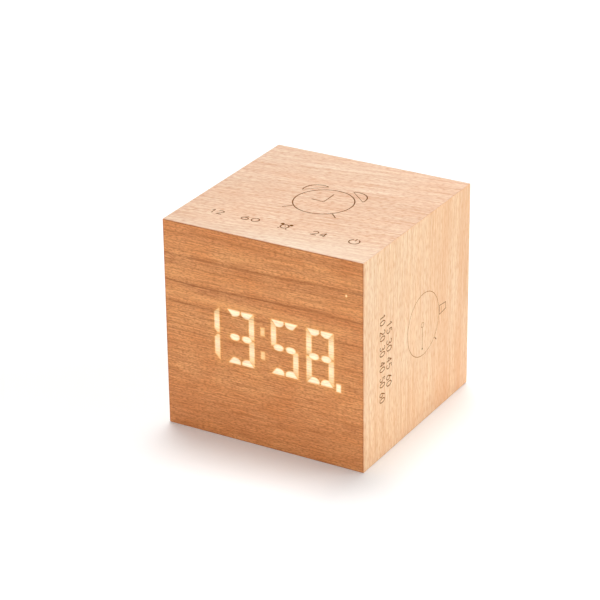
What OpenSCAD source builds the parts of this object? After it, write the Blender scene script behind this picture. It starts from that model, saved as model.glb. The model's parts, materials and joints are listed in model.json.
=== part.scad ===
// Cube-shaped wooden alarm clock: a mitred veneered case with a light display that shines through
// the front veneer, touch keys under the top board and two tilt switches that tell which side is up.
// Millimetres. The origin is the middle of the bottom face, +Z is up and the display faces -Y.

/* [Case] */
// Edge length of the cube
cube_side = 80; // [70:0.5:96]
// Thickness of the front and of the four wrapped boards
board_t = 5; // [4:0.25:6]
// Thickness of the veneer that the display shines through
veneer_t = 0.6; // [0.4:0.1:1]
// Small bevel along the outer edges
edge_ease = 0.4; // [0.2:0.1:0.8]
// Thickness of the back cover
cover_t = 4; // [3:0.25:5]
// How far the back cover lies inside the rear edge
cover_recess = 0.5; // [0.2:0.1:1]
// Gap round the back cover
cover_gap = 0.3; // [0.1:0.1:0.6]
// Edge of the square glue blocks in the rear corners
block_side = 9; // [8:0.5:10]
// Length of the glue blocks, front to back
block_len = 14; // [12:0.5:20]
// Glue blocks' bevel on the edge that faces the inside
block_bevel = 2; // [1:0.5:3]

/* [Display] */
// Height of a digit
digit_h = 20.4; // [18:0.2:22]
// Gap between the two digits of a pair
digit_gap = 3.1; // [2.4:0.1:3.6]
// Gap between the colon's middle and the digits beside it
colon_gap = 3.35; // [2.6:0.05:3.8]
// Distance of the outer digits from the reflector's sides
digit_margin = 4.05; // [3.9:0.05:5]
// Width of a lit bar
stroke = 2.4; // [2:0.1:2.6]
// Wall between neighbouring bars of a digit
bar_wall = 0.5; // [0.4:0.05:0.8]
// How far the middle bar's points stay inside the digit's sides
point_in = 0.85; // [0.7:0.05:1.2]
// Width of a colon window
colon_w = 2; // [1.6:0.1:2.4]
// Height of a colon window
colon_h = 3.1; // [2.6:0.1:3.6]
// Height of the colon windows above and below the middle
colon_rise = 4.6; // [4:0.1:5.4]
// How far the dot window hangs below the foot of the digits
dot_drop = 1.3; // [0.6:0.1:1.6]
// Height of the display's middle above the middle of the face
display_rise = 0.5; // [-1:0.1:1.5]
// Gap between the reflector and the case's inner walls
reflector_margin = 2.5; // [2:0.1:4]
// Height of the white reflector
reflector_h = 25; // [24.6:0.2:28]
// Depth of the white reflector
reflector_d = 7; // [6.5:0.25:9]
// Corner radius of the reflector and of its window
reflector_r = 2; // [1:0.25:3]
// Thickness of the diffusing film
film_t = 0.2; // [0.1:0.05:0.4]
// Distance of the small indicator lamp from the right edge
indicator_in = 6.7; // [6.4:0.1:9]
// Distance of the small indicator lamp below the top edge
indicator_down = 13.8; // [13.2:0.1:18]
// Radius of the indicator's light pipe
pipe_r = 0.7; // [0.5:0.05:0.9]

/* [Touch row] */
// Distance of the outer keys from the case's inner walls
touch_edge = 7.5; // [7:0.25:9]
// Sideways shift of the row of keys
touch_shift = 1; // [-1:0.25:1.5]
// Distance of the row from the front face
touch_in = 14.4; // [14.2:0.1:16]
// Radius of the pocket over each key
pocket_r = 4.5; // [4:0.1:4.8]
// Wood left over each pocket
touch_skin = 1.6; // [1:0.1:2]
// Outer radius of a touch spring
spring_r = 3.5; // [3:0.1:3.8]
// Wire thickness of a touch spring
spring_wire = 0.6; // [0.5:0.05:0.7]
// Turns of a touch spring
spring_turns = 4; // [3:1:5]

/* [Boards] */
// Thickness of the circuit boards
pcb_t = 1.6; // [1:0.1:2]
// Gap between the display's circuit board and the inner walls
display_board_gap = 0.6; // [0.4:0.1:0.8]
// Height of the display's circuit board
display_board_h = 58; // [56:0.5:58.5]
// Gap between the touch circuit board and the inner walls
touch_board_gap = 1.5; // [0.5:0.1:2]
// Depth of the touch circuit board
touch_board_d = 14; // [13:0.25:16]
// Gap between the touch board and the top board
touch_gap = 4.5; // [4:0.25:6]
// Gap between the power circuit board and the glue blocks
power_board_gap = 1; // [0.5:0.1:2]
// Depth of the power circuit board
power_board_d = 28; // [26.5:0.5:30]
// Gap between the power board and the bottom board
power_gap = 4; // [3.5:0.25:5]
// Gap between the touch board and the display board
board_gap = 0.6; // [0.4:0.1:1]
// Width of the flat ribbon cables
ribbon_w = 7.6; // [5:0.1:9]
// Thickness of the flat ribbon cables
ribbon_t = 1; // [0.8:0.1:1.2]
// Radius of the ribbon cables' bends, along their middle
ribbon_bend = 3; // [2:0.25:3.5]

/* [Tilt switches] */
// Lean of each switch from upright
tilt_lean = 45; // [40:1:50]
// Outer radius of a switch's can
can_r = 2.5; // [2.4:0.05:2.8]
// Wall of the can
can_wall = 0.3; // [0.2:0.05:0.35]
// Radius of the rolling ball
ball_r = 1.8; // [1.6:0.05:1.85]
// Travel of the ball from the contacts to the closed end
ball_travel = 2.5; // [2:0.1:4]
// Half the distance between the two contacts
contact_x = 1; // [0.9:0.05:1.1]
// Radius of a contact pin
contact_r = 0.3; // [0.25:0.05:0.35]
// Height of the contacts above the plug's inner face
contact_rise = 0.6; // [0.4:0.1:1]
// Depth of the plug that closes the can
plug_depth = 2.2; // [1.8:0.1:3]
// Thickness of the plug's flange
plug_flange = 0.8; // [0.6:0.1:1]

/* [Power] */
// Width of the charging socket
socket_w = 7.5; // [7.2:0.1:7.8]
// Height of the charging socket
socket_h = 2.8; // [2.7:0.1:3]
// Length of the charging socket
socket_len = 5.5; // [5:0.1:6]
// How far the socket reaches past the cover's inner face
socket_reach = 0.4; // [0.2:0.1:0.8]
// Width of the cable opening in the back cover
inlet_w = 12.5; // [11:0.25:14]
// Height of the cable opening in the back cover
inlet_h = 7.5; // [6:0.25:8]
// Length of the battery cell, front to back
cell_len = 36; // [30:0.5:38]
// Height of the battery cell
cell_h = 30; // [24:0.5:32]
// Thickness of the battery cell
cell_t = 5.5; // [4.5:0.25:6.5]
// Thickness of the foam tape under the cell
tape_t = 1; // [0.5:0.1:1.5]
// Radius of the sounder
sounder_r = 6; // [5.5:0.1:6]
// Height of the sounder
sounder_h = 8.5; // [7:0.25:9.5]
// Thickness of a battery lead
lead_d = 1.3; // [1:0.1:1.4]
// Number of sound slots in the back cover
sound_slots = 5; // [3:1:7]
// Length of a sound slot
slot_len = 12; // [8:0.5:16]
// Width of a sound slot
slot_w = 1.6; // [1.2:0.1:2]
// Distance between sound slots
slot_pitch = 4; // [3.2:0.1:5]

/* [Fasteners] */
// Shank radius of the small board screws
board_screw_r = 1; // [0.8:0.05:1.1]
// Head radius of the small board screws
board_head_r = 2.1; // [1.8:0.05:2.2]
// Head height of the small board screws
board_head_h = 1.5; // [1.2:0.1:1.8]
// How deep the board screws bite into the wood
board_bite = 2.6; // [2:0.1:2.8]
// Outer radius of the spacers
spacer_r = 2.4; // [2.2:0.05:2.5]
// Shank radius of the back cover's screws
cover_screw_r = 1.4; // [1.2:0.05:1.6]
// Head radius of the back cover's screws
cover_head_r = 2.8; // [2.5:0.05:3]
// How deep the back cover's screws bite into the glue blocks
cover_bite = 9; // [7:0.5:11]

/* [Hidden] */
$fn = 48;
over = 1;                    // how far a cutting shape reaches past the face that it cuts
fit = 0.05;                  // radial play of screws, pins and pipes in their holes
seat_gap = 0.2;              // play round a piece that is laid into a pocket
half = cube_side / 2;
front_y = -half;
rear_y = half;
mid_z = half;
in_half = half - board_t;
in_top = cube_side - board_t;
cover_in = rear_y - cover_recess - cover_t;
cover_half = in_half - cover_gap;
cover_out = cover_in + cover_t;
cover_head_h = cover_head_r - cover_screw_r;
cover_recess_rim = 1.25;
cover_recess_d = 1;
recess_w = 0.55;
recess_rim = 0.85;
block_mid = in_half - block_side / 2;

// Display, from the veneer backwards
display_z = mid_z + display_rise;
film_y = front_y + veneer_t;
reflector_y = film_y + film_t;
display_front = reflector_y + reflector_d;
display_back = display_front + pcb_t;
wall_y = front_y + board_t;
window_half_h = reflector_h / 2 + seat_gap;
reflector_w = 2 * (in_half - reflector_margin);
digit_w = (reflector_w / 2 - digit_margin - digit_gap - colon_gap) / 2;
digit_half_w = digit_w / 2;
digit_half_h = digit_h / 2;
inner_digit_x = colon_gap + digit_half_w;
outer_digit_x = inner_digit_x + digit_w + digit_gap;
digit_x = [-outer_digit_x, -inner_digit_x, inner_digit_x, outer_digit_x];
mitre_gap = bar_wall * sqrt(2);
// A flat bar's window bulges to the bar's width over its own half of the digit
lobe_half = (digit_half_w - mitre_gap / 2 - bar_wall / 2) / 2;
lobe_x = bar_wall / 2 + lobe_half;
lobe_ease = 0.3;
lobe_r = (lobe_half * lobe_half + stroke * stroke) / (2 * stroke) + lobe_ease;
// The middle bar's windows are lenses, one in each half of the digit
lens_half = (digit_half_w - point_in - bar_wall / 2) / 2;
lens_x = bar_wall / 2 + lens_half;
lens_r = (lens_half * lens_half + stroke * stroke / 4) / stroke;
bar_mid_y = digit_half_h / 2;
bar_lamp_step = 2;
dot_w = 2.1;
dot_h = 3.2;
dot_x = digit_x[3] + digit_half_w + bar_wall + dot_w / 2;
dot_y = -digit_half_h - dot_drop + dot_h / 2;
indicator_x = half - indicator_in;
indicator_z = cube_side - indicator_down;
peg_r = 0.9;
peg_edge = 1.5;
peg_x = reflector_w / 2 - peg_edge;
peg_y = reflector_h / 2 - peg_edge;
lamp_l = 1.6;
lamp_w = 0.8;
lamp_h = 0.6;
flat_lamp_x = (bar_wall / 2 + digit_half_w - mitre_gap / 2 - stroke / 2 - lamp_w / 2) / 2;
display_screw_in = 7;
display_screw_x = in_half - display_screw_in;
display_screw_out = 6.9;
display_screw_z = window_half_h + spacer_r + display_screw_out;
display_board_w = 2 * (in_half - display_board_gap);

// Chips, by the number of their legs and the size of their bodies
wide_chip_w = 7.5;
wide_chip_h = 2.4;
slim_chip_w = 3.9;
slim_chip_h = 1.7;
leg_w = 0.42;
leg_t = 0.2;
leg_knee = 0.42;
leg_lean = 0.1;
leg_tip = 1.47;
leg_pitch = 1.27;
chip_end = 0.7;
chip_stand = 0.15;
controller_legs = 28;
driver_legs = 24;
touch_chip_legs = 16;
charge_chip_legs = 8;
chip_row_drop = 2.5;
chip_row_z = display_z - chip_row_drop;
controller_x = -12;
driver_x = 13;
crystal_edge = 7.4;
crystal_x = -(display_board_w / 2 - crystal_edge);
touch_chip_x = -18;

// Touch board, hung under the top board
touch_count = 5;
touch_pitch = 2 * (in_half - touch_edge) / (touch_count - 1);
touch_board_w = 2 * (in_half - touch_board_gap);
touch_y = front_y + touch_in;
touch_x = [for (i = [0 : touch_count - 1]) touch_shift + (i - (touch_count - 1) / 2) * touch_pitch];
touch_top = in_top - touch_gap;
touch_bottom = touch_top - pcb_t;
touch_front = display_back + board_gap;
touch_rear = touch_front + touch_board_d;
touch_screw_in = 3.5;
touch_screw_x = [for (s = [-1, 1]) touch_shift + s * (touch_board_w / 2 - touch_screw_in)];
touch_screw_step = 6.6;
touch_screw_y = touch_y + touch_screw_step;
pocket_top = cube_side - touch_skin;
spring_h = pocket_top - touch_top;

// Power board, on the bottom board with its socket at the back cover
power_bottom = board_t + power_gap;
power_top = power_bottom + pcb_t;
power_edge = 0.8;
power_board_w = 2 * (in_half - block_side - power_board_gap);
power_rear = cover_in - power_edge;
power_front = power_rear - power_board_d;
power_screw_in = 3;
power_screw_x = power_board_w / 2 - power_screw_in;
power_screw_y = [power_front + power_screw_in, power_rear - power_screw_in];
socket_mouth = cover_in + socket_reach;
socket_z = power_top + socket_h / 2;
sounder_screw_gap = 9;
sounder_x = -(power_screw_x - sounder_screw_gap);
sounder_in = 5;
charge_chip_gap = 10;
charge_chip_x = power_screw_x - charge_chip_gap;
capacitor_gap = 8;
capacitor_x = power_screw_x - capacitor_gap;
sounder_y = power_rear - sounder_in - sounder_r;
slots_drop = 10;
slots_z = mid_z - slots_drop;

// Plugs and sockets of the inner cables
header_l = 14;
header_w = 4.5;
header_h = 5.5;
header_wall = 0.8;
header_floor = 1;
plug_rise = 1.5;
plug_top = header_h + plug_rise;
touch_header_in = 0.4;
touch_header_y = touch_rear - header_w / 2 - touch_header_in;
upper_header_rise = 13;
upper_header_z = display_z + upper_header_rise;
lower_header_drop = 14.5;
lower_header_z = display_z - lower_header_drop;
power_header_in = 3;
power_header_y = power_front + header_w / 2 + power_header_in;
cell_header_l = 6;
cell_header_gap = 7;
cell_header_x = -(power_screw_x - cell_header_gap);
cell_wire_y = 1;

// Battery on the inside of the left board
tape_x = -in_half;
cell_x = tape_x + tape_t;
cell_rear_gap = 11.5;
cell_front = cover_in - cell_rear_gap - cell_len;
cell_rise = 3;
cell_seam = 3;
cell_seam_t = 3.3;
cell_foot = mid_z + cell_rise - cell_h / 2;
lead_y = power_header_y;
lead_side = 1.2;
lead_pull = 7;
lead_rings = 18;
lead_sides = 8;

// Tilt switches on the back of the display board, measured along the can from the flange
tilt_x = 14;
tilt_rise = 11;
tilt_z = display_z + tilt_rise;
tilt_y = display_back + can_r + seat_gap;
tip_z = plug_depth + contact_rise;
ball_z = tip_z + sqrt(ball_r * ball_r - pow(contact_x - contact_r, 2)) + fit;
can_top = ball_z + ball_travel + ball_r + fit;
can_len = can_top + can_wall;
pin_out = 1.2;
pin_bend = 1;

// Shared shapes

// Draws a flat shape upright, facing the front, from depth y0 over a length
module extrude_y(y0, length)
    translate([0, y0 + length, 0]) rotate([90, 0, 0]) linear_extrude(length) children();

// Draws a flat shape seen from the right, with the shape's x along +Y
module extrude_x(x0, length)
    translate([x0, 0, 0]) rotate([90, 0, 90]) linear_extrude(length) children();

module centred_square(w, h) translate([-w / 2, -h / 2]) square([w, h]);

module rounded_rect(w, h, r) {
    centred_square(w - 2 * r, h);
    centred_square(w, h - 2 * r);
    for (sx = [-1, 1], sy = [-1, 1])
        translate([sx * (w / 2 - r), sy * (h / 2 - r)]) circle(r);
}

// A slot with round ends, standing upright
module upright_slot(w, h) {
    centred_square(w, h - w);
    for (s = [-1, 1]) translate([0, s * (h - w) / 2]) circle(d = w);
}

module bevelled_square(side, bevel) {
    a = side / 2;
    b = a - bevel;
    polygon([[-a, -b], [-b, -a], [b, -a], [a, -b], [a, b], [b, a], [-b, a], [-a, b]]);
}

// The whole cube with its outer edges eased
module eased_cube() {
    translate([0, 0, mid_z]) intersection() {
        translate([0, 0, -half]) linear_extrude(cube_side) bevelled_square(cube_side, edge_ease);
        extrude_y(-half, cube_side) bevelled_square(cube_side, edge_ease);
        extrude_x(-half, cube_side) bevelled_square(cube_side, edge_ease);
    }
}

// The upper of the four wrapped boards, mitred along both sides and at the front
module wrapped_board() {
    intersection() {
        eased_cube();
        extrude_y(front_y - over, cube_side + 2 * over) polygon([
            [-half - over, cube_side + over], [half + over, cube_side + over],
            [in_half, in_top], [-in_half, in_top]]);
        extrude_x(-half - over, cube_side + 2 * over) polygon([
            [front_y - over, cube_side + over], [rear_y + over, cube_side + over],
            [rear_y + over, in_top], [wall_y, in_top]]);
    }
}

// Turns the upper board to another side: 90 is right, 180 is the bottom, 270 is left
module on_side(turn)
    translate([0, 0, mid_z]) rotate([0, turn, 0]) translate([0, 0, -mid_z]) children();

// A layer of the front, mitred on all four sides, from one depth to another
module front_layer(depth_0, depth_1) {
    outer = half + over;
    inner = half - depth_1;
    intersection() {
        eased_cube();
        translate([0, 0, -over]) linear_extrude(cube_side + 2 * over) polygon([
            [-outer, front_y - over], [outer, front_y - over],
            [inner, front_y + depth_1], [-inner, front_y + depth_1]]);
        extrude_x(-outer, 2 * outer) polygon([
            [front_y - over, mid_z - outer], [front_y - over, mid_z + outer],
            [front_y + depth_1, mid_z + inner], [front_y + depth_1, mid_z - inner]]);
        extrude_y(front_y + depth_0, depth_1 - depth_0 + over)
            translate([0, mid_z]) centred_square(2 * outer, 2 * outer);
    }
}

// Places a shape drawn upwards so that it grows backwards out of a wall at depth y
module facing_back(x, y, z) translate([x, y, z]) rotate([-90, 0, 0]) children();

module facing_down(x, y, z) translate([x, y, z]) rotate([180, 0, 0]) children();

module spacer(length) {
    difference() {
        cylinder(h = length, r = spacer_r);
        translate([0, 0, -over]) cylinder(h = length + 2 * over, r = board_screw_r + 2 * fit);
    }
}

module cross_recess(reach, depth) {
    for (turn = [0, 90]) rotate(turn)
        translate([-reach, -recess_w / 2, -depth]) cube([2 * reach, recess_w, depth + over]);
}

// A pan-head screw whose shank points down from the head's seat at zero
module board_screw(length) {
    translate([0, 0, -length]) cylinder(h = length + board_head_h / 2, r = board_screw_r);
    difference() {
        cylinder(h = board_head_h, r = board_head_r);
        translate([0, 0, board_head_h]) cross_recess(board_head_r - recess_rim, board_head_h / 2);
    }
}

// A surface-mounted chip with bent legs along its two long sides
module legged_chip(legs, width, height) {
    shoulder = height / 2;
    heel = leg_knee + leg_lean;
    length = (legs / 2 - 1) * leg_pitch + 2 * chip_end;
    translate([-length / 2, -width / 2, chip_stand]) cube([length, width, height - chip_stand]);
    for (i = [0 : legs / 2 - 1], side = [-1, 1])
        translate([(i - (legs / 2 - 1) / 2) * leg_pitch, 0, 0])
            rotate(side > 0 ? 0 : 180)
                translate([-leg_w / 2, width / 2, 0]) rotate([90, 0, 90]) linear_extrude(leg_w) polygon([
                    [-leg_t, shoulder], [leg_knee, shoulder], [heel, leg_t], [leg_tip, leg_t],
                    [leg_tip, 0], [heel - leg_t, 0],
                    [leg_knee - leg_t, shoulder - leg_t], [-leg_t, shoulder - leg_t]]);
}

// An open box header, seated on a board
module header(length) {
    difference() {
        translate([-length / 2, -header_w / 2, 0]) cube([length, header_w, header_h]);
        translate([-length / 2 + header_wall, -header_w / 2 + header_wall, header_floor])
            cube([length - 2 * header_wall, header_w - 2 * header_wall, header_h]);
    }
}

// The plug that stands in a header and rises out of it
module header_plug(length) {
    l = length - 2 * (header_wall + fit);
    w = header_w - 2 * (header_wall + fit);
    translate([-l / 2, -w / 2, header_floor]) cube([l, w, plug_top - header_floor]);
}

// Every header and plug sits in one of these places
module at_touch_header() facing_down(0, touch_header_y, touch_bottom) children();
module at_upper_header() facing_back(0, display_back, upper_header_z) children();
module at_lower_header() facing_back(0, display_back, lower_header_z) children();
module at_power_header() translate([0, power_header_y, power_top]) children();
module at_cell_header() translate([cell_header_x, power_header_y, power_top]) rotate(90) children();

// Case

module front_veneer() {
    color("peru") front_layer(0, veneer_t);
}

module front_board() {
    color("burlywood") difference() {
        front_layer(veneer_t, board_t);
        extrude_y(front_y, board_t + over) translate([0, display_z])
            rounded_rect(reflector_w + 2 * seat_gap, reflector_h + 2 * seat_gap, reflector_r);
        facing_back(indicator_x, front_y, indicator_z) cylinder(h = board_t + over, r = pipe_r + fit);
        at_display_screws() translate([0, 0, wall_y - board_bite])
            cylinder(h = board_bite + over, r = board_screw_r + fit);
    }
}

module top_board() {
    color("wheat") difference() {
        wrapped_board();
        for (x = touch_x) translate([x, touch_y, in_top - over])
            cylinder(h = pocket_top - in_top + over, r = pocket_r);
        at_touch_screws() translate([0, 0, in_top - over])
            cylinder(h = board_bite + over, r = board_screw_r + fit);
    }
}

module right_board() {
    color("wheat") on_side(90) wrapped_board();
}

module bottom_board() {
    color("wheat") difference() {
        on_side(180) wrapped_board();
        at_power_screws() translate([0, 0, board_t - board_bite])
            cylinder(h = board_bite + over, r = board_screw_r + fit);
    }
}

module left_board() {
    color("wheat") on_side(270) wrapped_board();
}

module at_cover_screws() {
    for (sx = [-1, 1], sz = [-1, 1])
        facing_back(sx * block_mid, 0, mid_z + sz * block_mid) children();
}

module back_cover() {
    hole_r = cover_screw_r + 2 * fit;
    sink_r = cover_head_r + 2 * fit;
    color("wheat") difference() {
        extrude_y(cover_in, cover_t) translate([0, mid_z]) difference() {
            bevelled_square(2 * cover_half, edge_ease);
            translate([0, socket_z - mid_z]) rounded_rect(inlet_w, inlet_h, inlet_h / 4);
            for (i = [0 : sound_slots - 1])
                translate([(i - (sound_slots - 1) / 2) * slot_pitch, slots_z - mid_z])
                    upright_slot(slot_w, slot_len);
        }
        at_cover_screws() {
            translate([0, 0, cover_in - over]) cylinder(h = cover_t + 2 * over, r = hole_r);
            translate([0, 0, cover_out - cover_head_h])
                cylinder(h = cover_head_h, r1 = hole_r, r2 = sink_r);
            translate([0, 0, cover_out]) cylinder(h = over, r = sink_r);
        }
    }
}

// Blocks of wood glued into the rear corners, which take the cover's screws
module glue_blocks() {
    color("burlywood") for (turn = [0 : 90 : 270]) difference() {
        on_side(turn) extrude_y(cover_in - block_len, block_len)
            translate([block_mid, mid_z + block_mid]) difference() {
                centred_square(block_side, block_side);
                translate([-block_side / 2, -block_side / 2]) rotate(45)
                    centred_square(block_bevel * sqrt(2), block_bevel * sqrt(2));
            }
        at_cover_screws() translate([0, 0, cover_in - cover_bite - over])
            cylinder(h = cover_bite + 2 * over, r = cover_screw_r + fit);
    }
}

module cover_screws() {
    color("dimgray") at_cover_screws() {
        translate([0, 0, cover_in - cover_bite])
            cylinder(h = cover_bite + cover_t - cover_head_h, r = cover_screw_r);
        difference() {
            translate([0, 0, cover_out - cover_head_h])
                cylinder(h = cover_head_h, r1 = cover_screw_r, r2 = cover_head_r);
            translate([0, 0, cover_out]) cross_recess(cover_head_r - cover_recess_rim, cover_recess_d);
        }
    }
}

// Display

module diffuser_film() {
    color("white") extrude_y(film_y, film_t) translate([0, display_z])
        rounded_rect(reflector_w, reflector_h, reflector_r);
}

// One rounded lamp window of the upper flat bar: straight above, bulging below
module flat_bar_window() {
    edge = digit_half_h;
    corner = digit_half_w - mitre_gap / 2;
    intersection() {
        translate([lobe_x, edge - stroke + lobe_r]) circle(lobe_r);
        polygon([
            [bar_wall / 2, edge], [corner, edge],
            [corner - stroke - over, edge - stroke - over], [bar_wall / 2, edge - stroke - over]]);
    }
}

// One pointed lamp window of the middle bar
module middle_bar_window() {
    intersection_for (s = [-1, 1])
        translate([lens_x, s * (lens_r - stroke / 2)]) circle(lens_r);
}

// The upper right upright bar, mitred at the top and slanted away from the middle bar's point
module upright_bar_window() {
    x0 = digit_half_w - stroke;
    x1 = digit_half_w;
    top = digit_half_h - mitre_gap / 2;
    lens_rise = sqrt(lens_r * lens_r - pow(x0 - lens_x, 2)) - lens_r + stroke / 2;
    polygon([
        [x1, top], [x0, top - stroke], [x0, lens_rise + mitre_gap], [x1 - point_in, mitre_gap],
        [x1, bar_wall / 2]]);
}

module digit_windows() {
    for (sx = [0, 1]) mirror([sx, 0]) {
        middle_bar_window();
        for (sy = [0, 1]) mirror([0, sy]) {
            flat_bar_window();
            upright_bar_window();
        }
    }
}

module display_windows() {
    for (x = digit_x) translate([x, 0]) digit_windows();
    for (s = [-1, 1]) translate([0, s * colon_rise]) centred_square(colon_w, colon_h);
    translate([dot_x, dot_y]) centred_square(dot_w, dot_h);
}

module at_reflector_pegs() {
    for (s = [-1, 1]) facing_back(s * peg_x, display_front, display_z + s * peg_y) children();
}

module digit_reflector() {
    color("white") {
        extrude_y(reflector_y, reflector_d) translate([0, display_z]) difference() {
            rounded_rect(reflector_w, reflector_h, reflector_r);
            display_windows();
        }
        at_reflector_pegs() translate([0, 0, -over]) cylinder(h = pcb_t + over, r = peg_r);
    }
}

// Where the lamps stand on the display board, as [x, height, turned upright]
function digit_lamps(x) = concat(
    [for (sx = [-1, 1], sy = [-1, 1]) [x + sx * flat_lamp_x, sy * (digit_half_h - stroke / 2), false]],
    [for (sx = [-1, 1]) [x + sx * lens_x, 0, false]],
    [for (sx = [-1, 1], sy = [-1, 1], step = [-1, 1])
        [x + sx * (digit_half_w - stroke / 2), sy * bar_mid_y + step * bar_lamp_step / 2, true]]);

lamp_places = concat(
    [for (x = digit_x) each digit_lamps(x)],
    [for (s = [-1, 1]) [0, s * colon_rise, true]],
    [[dot_x, dot_y, true], [indicator_x, indicator_z - display_z, true]]);

module display_lamps() {
    color("lightyellow") for (p = lamp_places) {
        w = p[2] ? lamp_w : lamp_l;
        h = p[2] ? lamp_l : lamp_w;
        translate([p[0] - w / 2, display_front - lamp_h, display_z + p[1] - h / 2]) cube([w, lamp_h, h]);
    }
}

// A clear rod that leads the indicator lamp's light to the back of the veneer
module indicator_pipe() {
    rod = display_front - lamp_h - seat_gap - film_y;
    color("lightcyan") facing_back(indicator_x, film_y, indicator_z) cylinder(h = rod, r = pipe_r);
}

module at_display_screws() {
    for (sx = [-1, 1], sz = [-1, 1])
        facing_back(sx * display_screw_x, 0, display_z + sz * display_screw_z) children();
}

module display_board() {
    color("darkgreen") difference() {
        extrude_y(display_front, pcb_t) translate([0, display_z])
            centred_square(display_board_w, display_board_h);
        at_display_screws() translate([0, 0, display_front - over])
            cylinder(h = pcb_t + 2 * over, r = board_screw_r + 2 * fit);
        at_reflector_pegs() translate([0, 0, -over]) cylinder(h = pcb_t + 2 * over, r = peg_r + fit);
        for (side = [-1, 1]) at_tilt_switch(side) at_contacts()
            translate([0, 0, -pin_drop]) rotate([90, 0, 0])
                cylinder(h = can_r + seat_gap + pcb_t + over, r = contact_r + fit);
    }
}

module display_spacers() {
    color("silver") at_display_screws() translate([0, 0, wall_y]) spacer(display_front - wall_y);
}

module display_screws() {
    color("gray") at_display_screws() translate([0, 0, display_back])
        board_screw(display_back - wall_y + board_bite);
}

module controller_chip() {
    color("black") facing_back(controller_x, display_back, chip_row_z)
        legged_chip(controller_legs, wide_chip_w, wide_chip_h);
}

module driver_chip() {
    color("black") facing_back(driver_x, display_back, chip_row_z)
        legged_chip(driver_legs, wide_chip_w, wide_chip_h);
}

// A small round crystal lying on the board, with two bent wires
module clock_crystal() {
    r = 1;
    length = 6;
    wire = 0.18;
    reach = 1.6;
    spread = 0.4;
    color("silver") facing_back(crystal_x, display_back, chip_row_z)
        rotate([90, 0, 0]) translate([0, r, -length / 2]) {
            rotate_extrude() polygon([[0, 0], [r, 0], [r, length - r / 2], [r / 2, length], [0, length]]);
            for (s = [-1, 1]) translate([s * spread, 0, 0]) {
                translate([0, 0, -reach]) cylinder(h = reach + wire, r = wire);
                translate([0, 0, -reach + wire]) rotate([90, 0, 0]) cylinder(h = r, r = wire);
            }
        }
}

// Tilt switches: a steel ball in a can rolls onto two contacts when its side of the clock is up

// The can's own axis points up before it leans to its side
module at_tilt_switch(side)
    translate([side * tilt_x, tilt_y, tilt_z]) rotate([0, side * tilt_lean, 0])
        translate([0, 0, -can_len / 2]) children();

module at_contacts() for (s = [-1, 1]) translate([s * contact_x, 0, 0]) children();

pin_drop = plug_flange + pin_out + pin_bend;

module tilt_cans() {
    color("silver") for (side = [-1, 1]) at_tilt_switch(side) rotate_extrude() polygon([
        [can_r - can_wall, 0], [can_r, 0], [can_r, can_len], [0, can_len],
        [0, can_top], [can_r - can_wall, can_top]]);
}

module tilt_plugs() {
    color("dimgray") for (side = [-1, 1]) at_tilt_switch(side) difference() {
        union() {
            cylinder(h = plug_depth, r = can_r - can_wall - fit);
            translate([0, 0, -plug_flange]) cylinder(h = plug_flange, r = can_r);
        }
        at_contacts() translate([0, 0, -plug_flange - over])
            cylinder(h = plug_depth + plug_flange + 2 * over, r = contact_r + fit);
    }
}

// Each contact runs through the plug, bends towards the board and ends flush with its front
module tilt_contacts() {
    color("gold") for (side = [-1, 1]) at_tilt_switch(side) at_contacts() {
        translate([0, 0, -pin_drop + pin_bend]) cylinder(h = tip_z + pin_drop - pin_bend, r = contact_r);
        translate([0, -pin_bend, -pin_drop + pin_bend]) rotate([0, 90, 0])
            rotate_extrude(angle = 90) translate([pin_bend, 0]) circle(contact_r);
        translate([0, -pin_bend, -pin_drop]) rotate([90, 0, 0])
            cylinder(h = can_r + seat_gap + pcb_t - pin_bend, r = contact_r);
    }
}

module tilt_ball(side) {
    color("lightgray") at_tilt_switch(side) translate([0, 0, ball_z]) sphere(ball_r);
}

module tilt_ball_left() { tilt_ball(-1); }

module tilt_ball_right() { tilt_ball(1); }

// Touch keys

module at_touch_screws() {
    for (x = touch_screw_x) translate([x, touch_screw_y, 0]) children();
}

module touch_board() {
    color("darkgreen") difference() {
        translate([-touch_board_w / 2, touch_front, touch_bottom])
            cube([touch_board_w, touch_board_d, pcb_t]);
        at_touch_screws() translate([0, 0, touch_bottom - over])
            cylinder(h = pcb_t + 2 * over, r = board_screw_r + 2 * fit);
    }
}

// A closed tube of triangles swept through rings of points
module swept_tube(rings) {
    n = len(rings[0]);
    last = len(rings) - 1;
    sides = [for (i = [0 : last - 1], j = [0 : n - 1]) let (k = (j + 1) % n)
        each [[i * n + j, (i + 1) * n + j, i * n + k], [i * n + k, (i + 1) * n + j, (i + 1) * n + k]]];
    first_cap = [for (j = [1 : n - 2]) [0, j, j + 1]];
    last_cap = [for (j = [1 : n - 2]) [last * n, last * n + j + 1, last * n + j]];
    polyhedron(points = [for (r = rings) each r], faces = concat(sides, first_cap, last_cap));
}

// The wire's middle line: a straight foot, the turns, and a last flat quarter turn under the wood
spring_mid = spring_r - spring_wire / 2;
spring_rings = 12;
spring_sides = 6;
spring_flat = 0.25;
spring_foot = spring_wire;
spring_climb = spring_h - spring_wire / 2 - spring_foot;
spring_pitch = spring_climb / (spring_turns - spring_flat);
function spring_height(turn) = spring_foot + min(turn, spring_turns - spring_flat) * spring_pitch;
spring_line = [for (i = [0 : spring_turns * spring_rings]) let (turn = i / spring_rings, a = 360 * turn)
    [spring_mid * cos(a), spring_mid * sin(a), spring_height(turn)]];

// A ring of points round a spring's wire, square to its run
function spring_ring(i) = let (a = 360 * i / spring_rings, p = spring_line[i])
    [for (j = [0 : spring_sides - 1]) let (b = 360 * (j + 0.5) / spring_sides, r = spring_wire / 2)
        p + [r * cos(b) * cos(a), r * cos(b) * sin(a), -r * sin(b)]];

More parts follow.
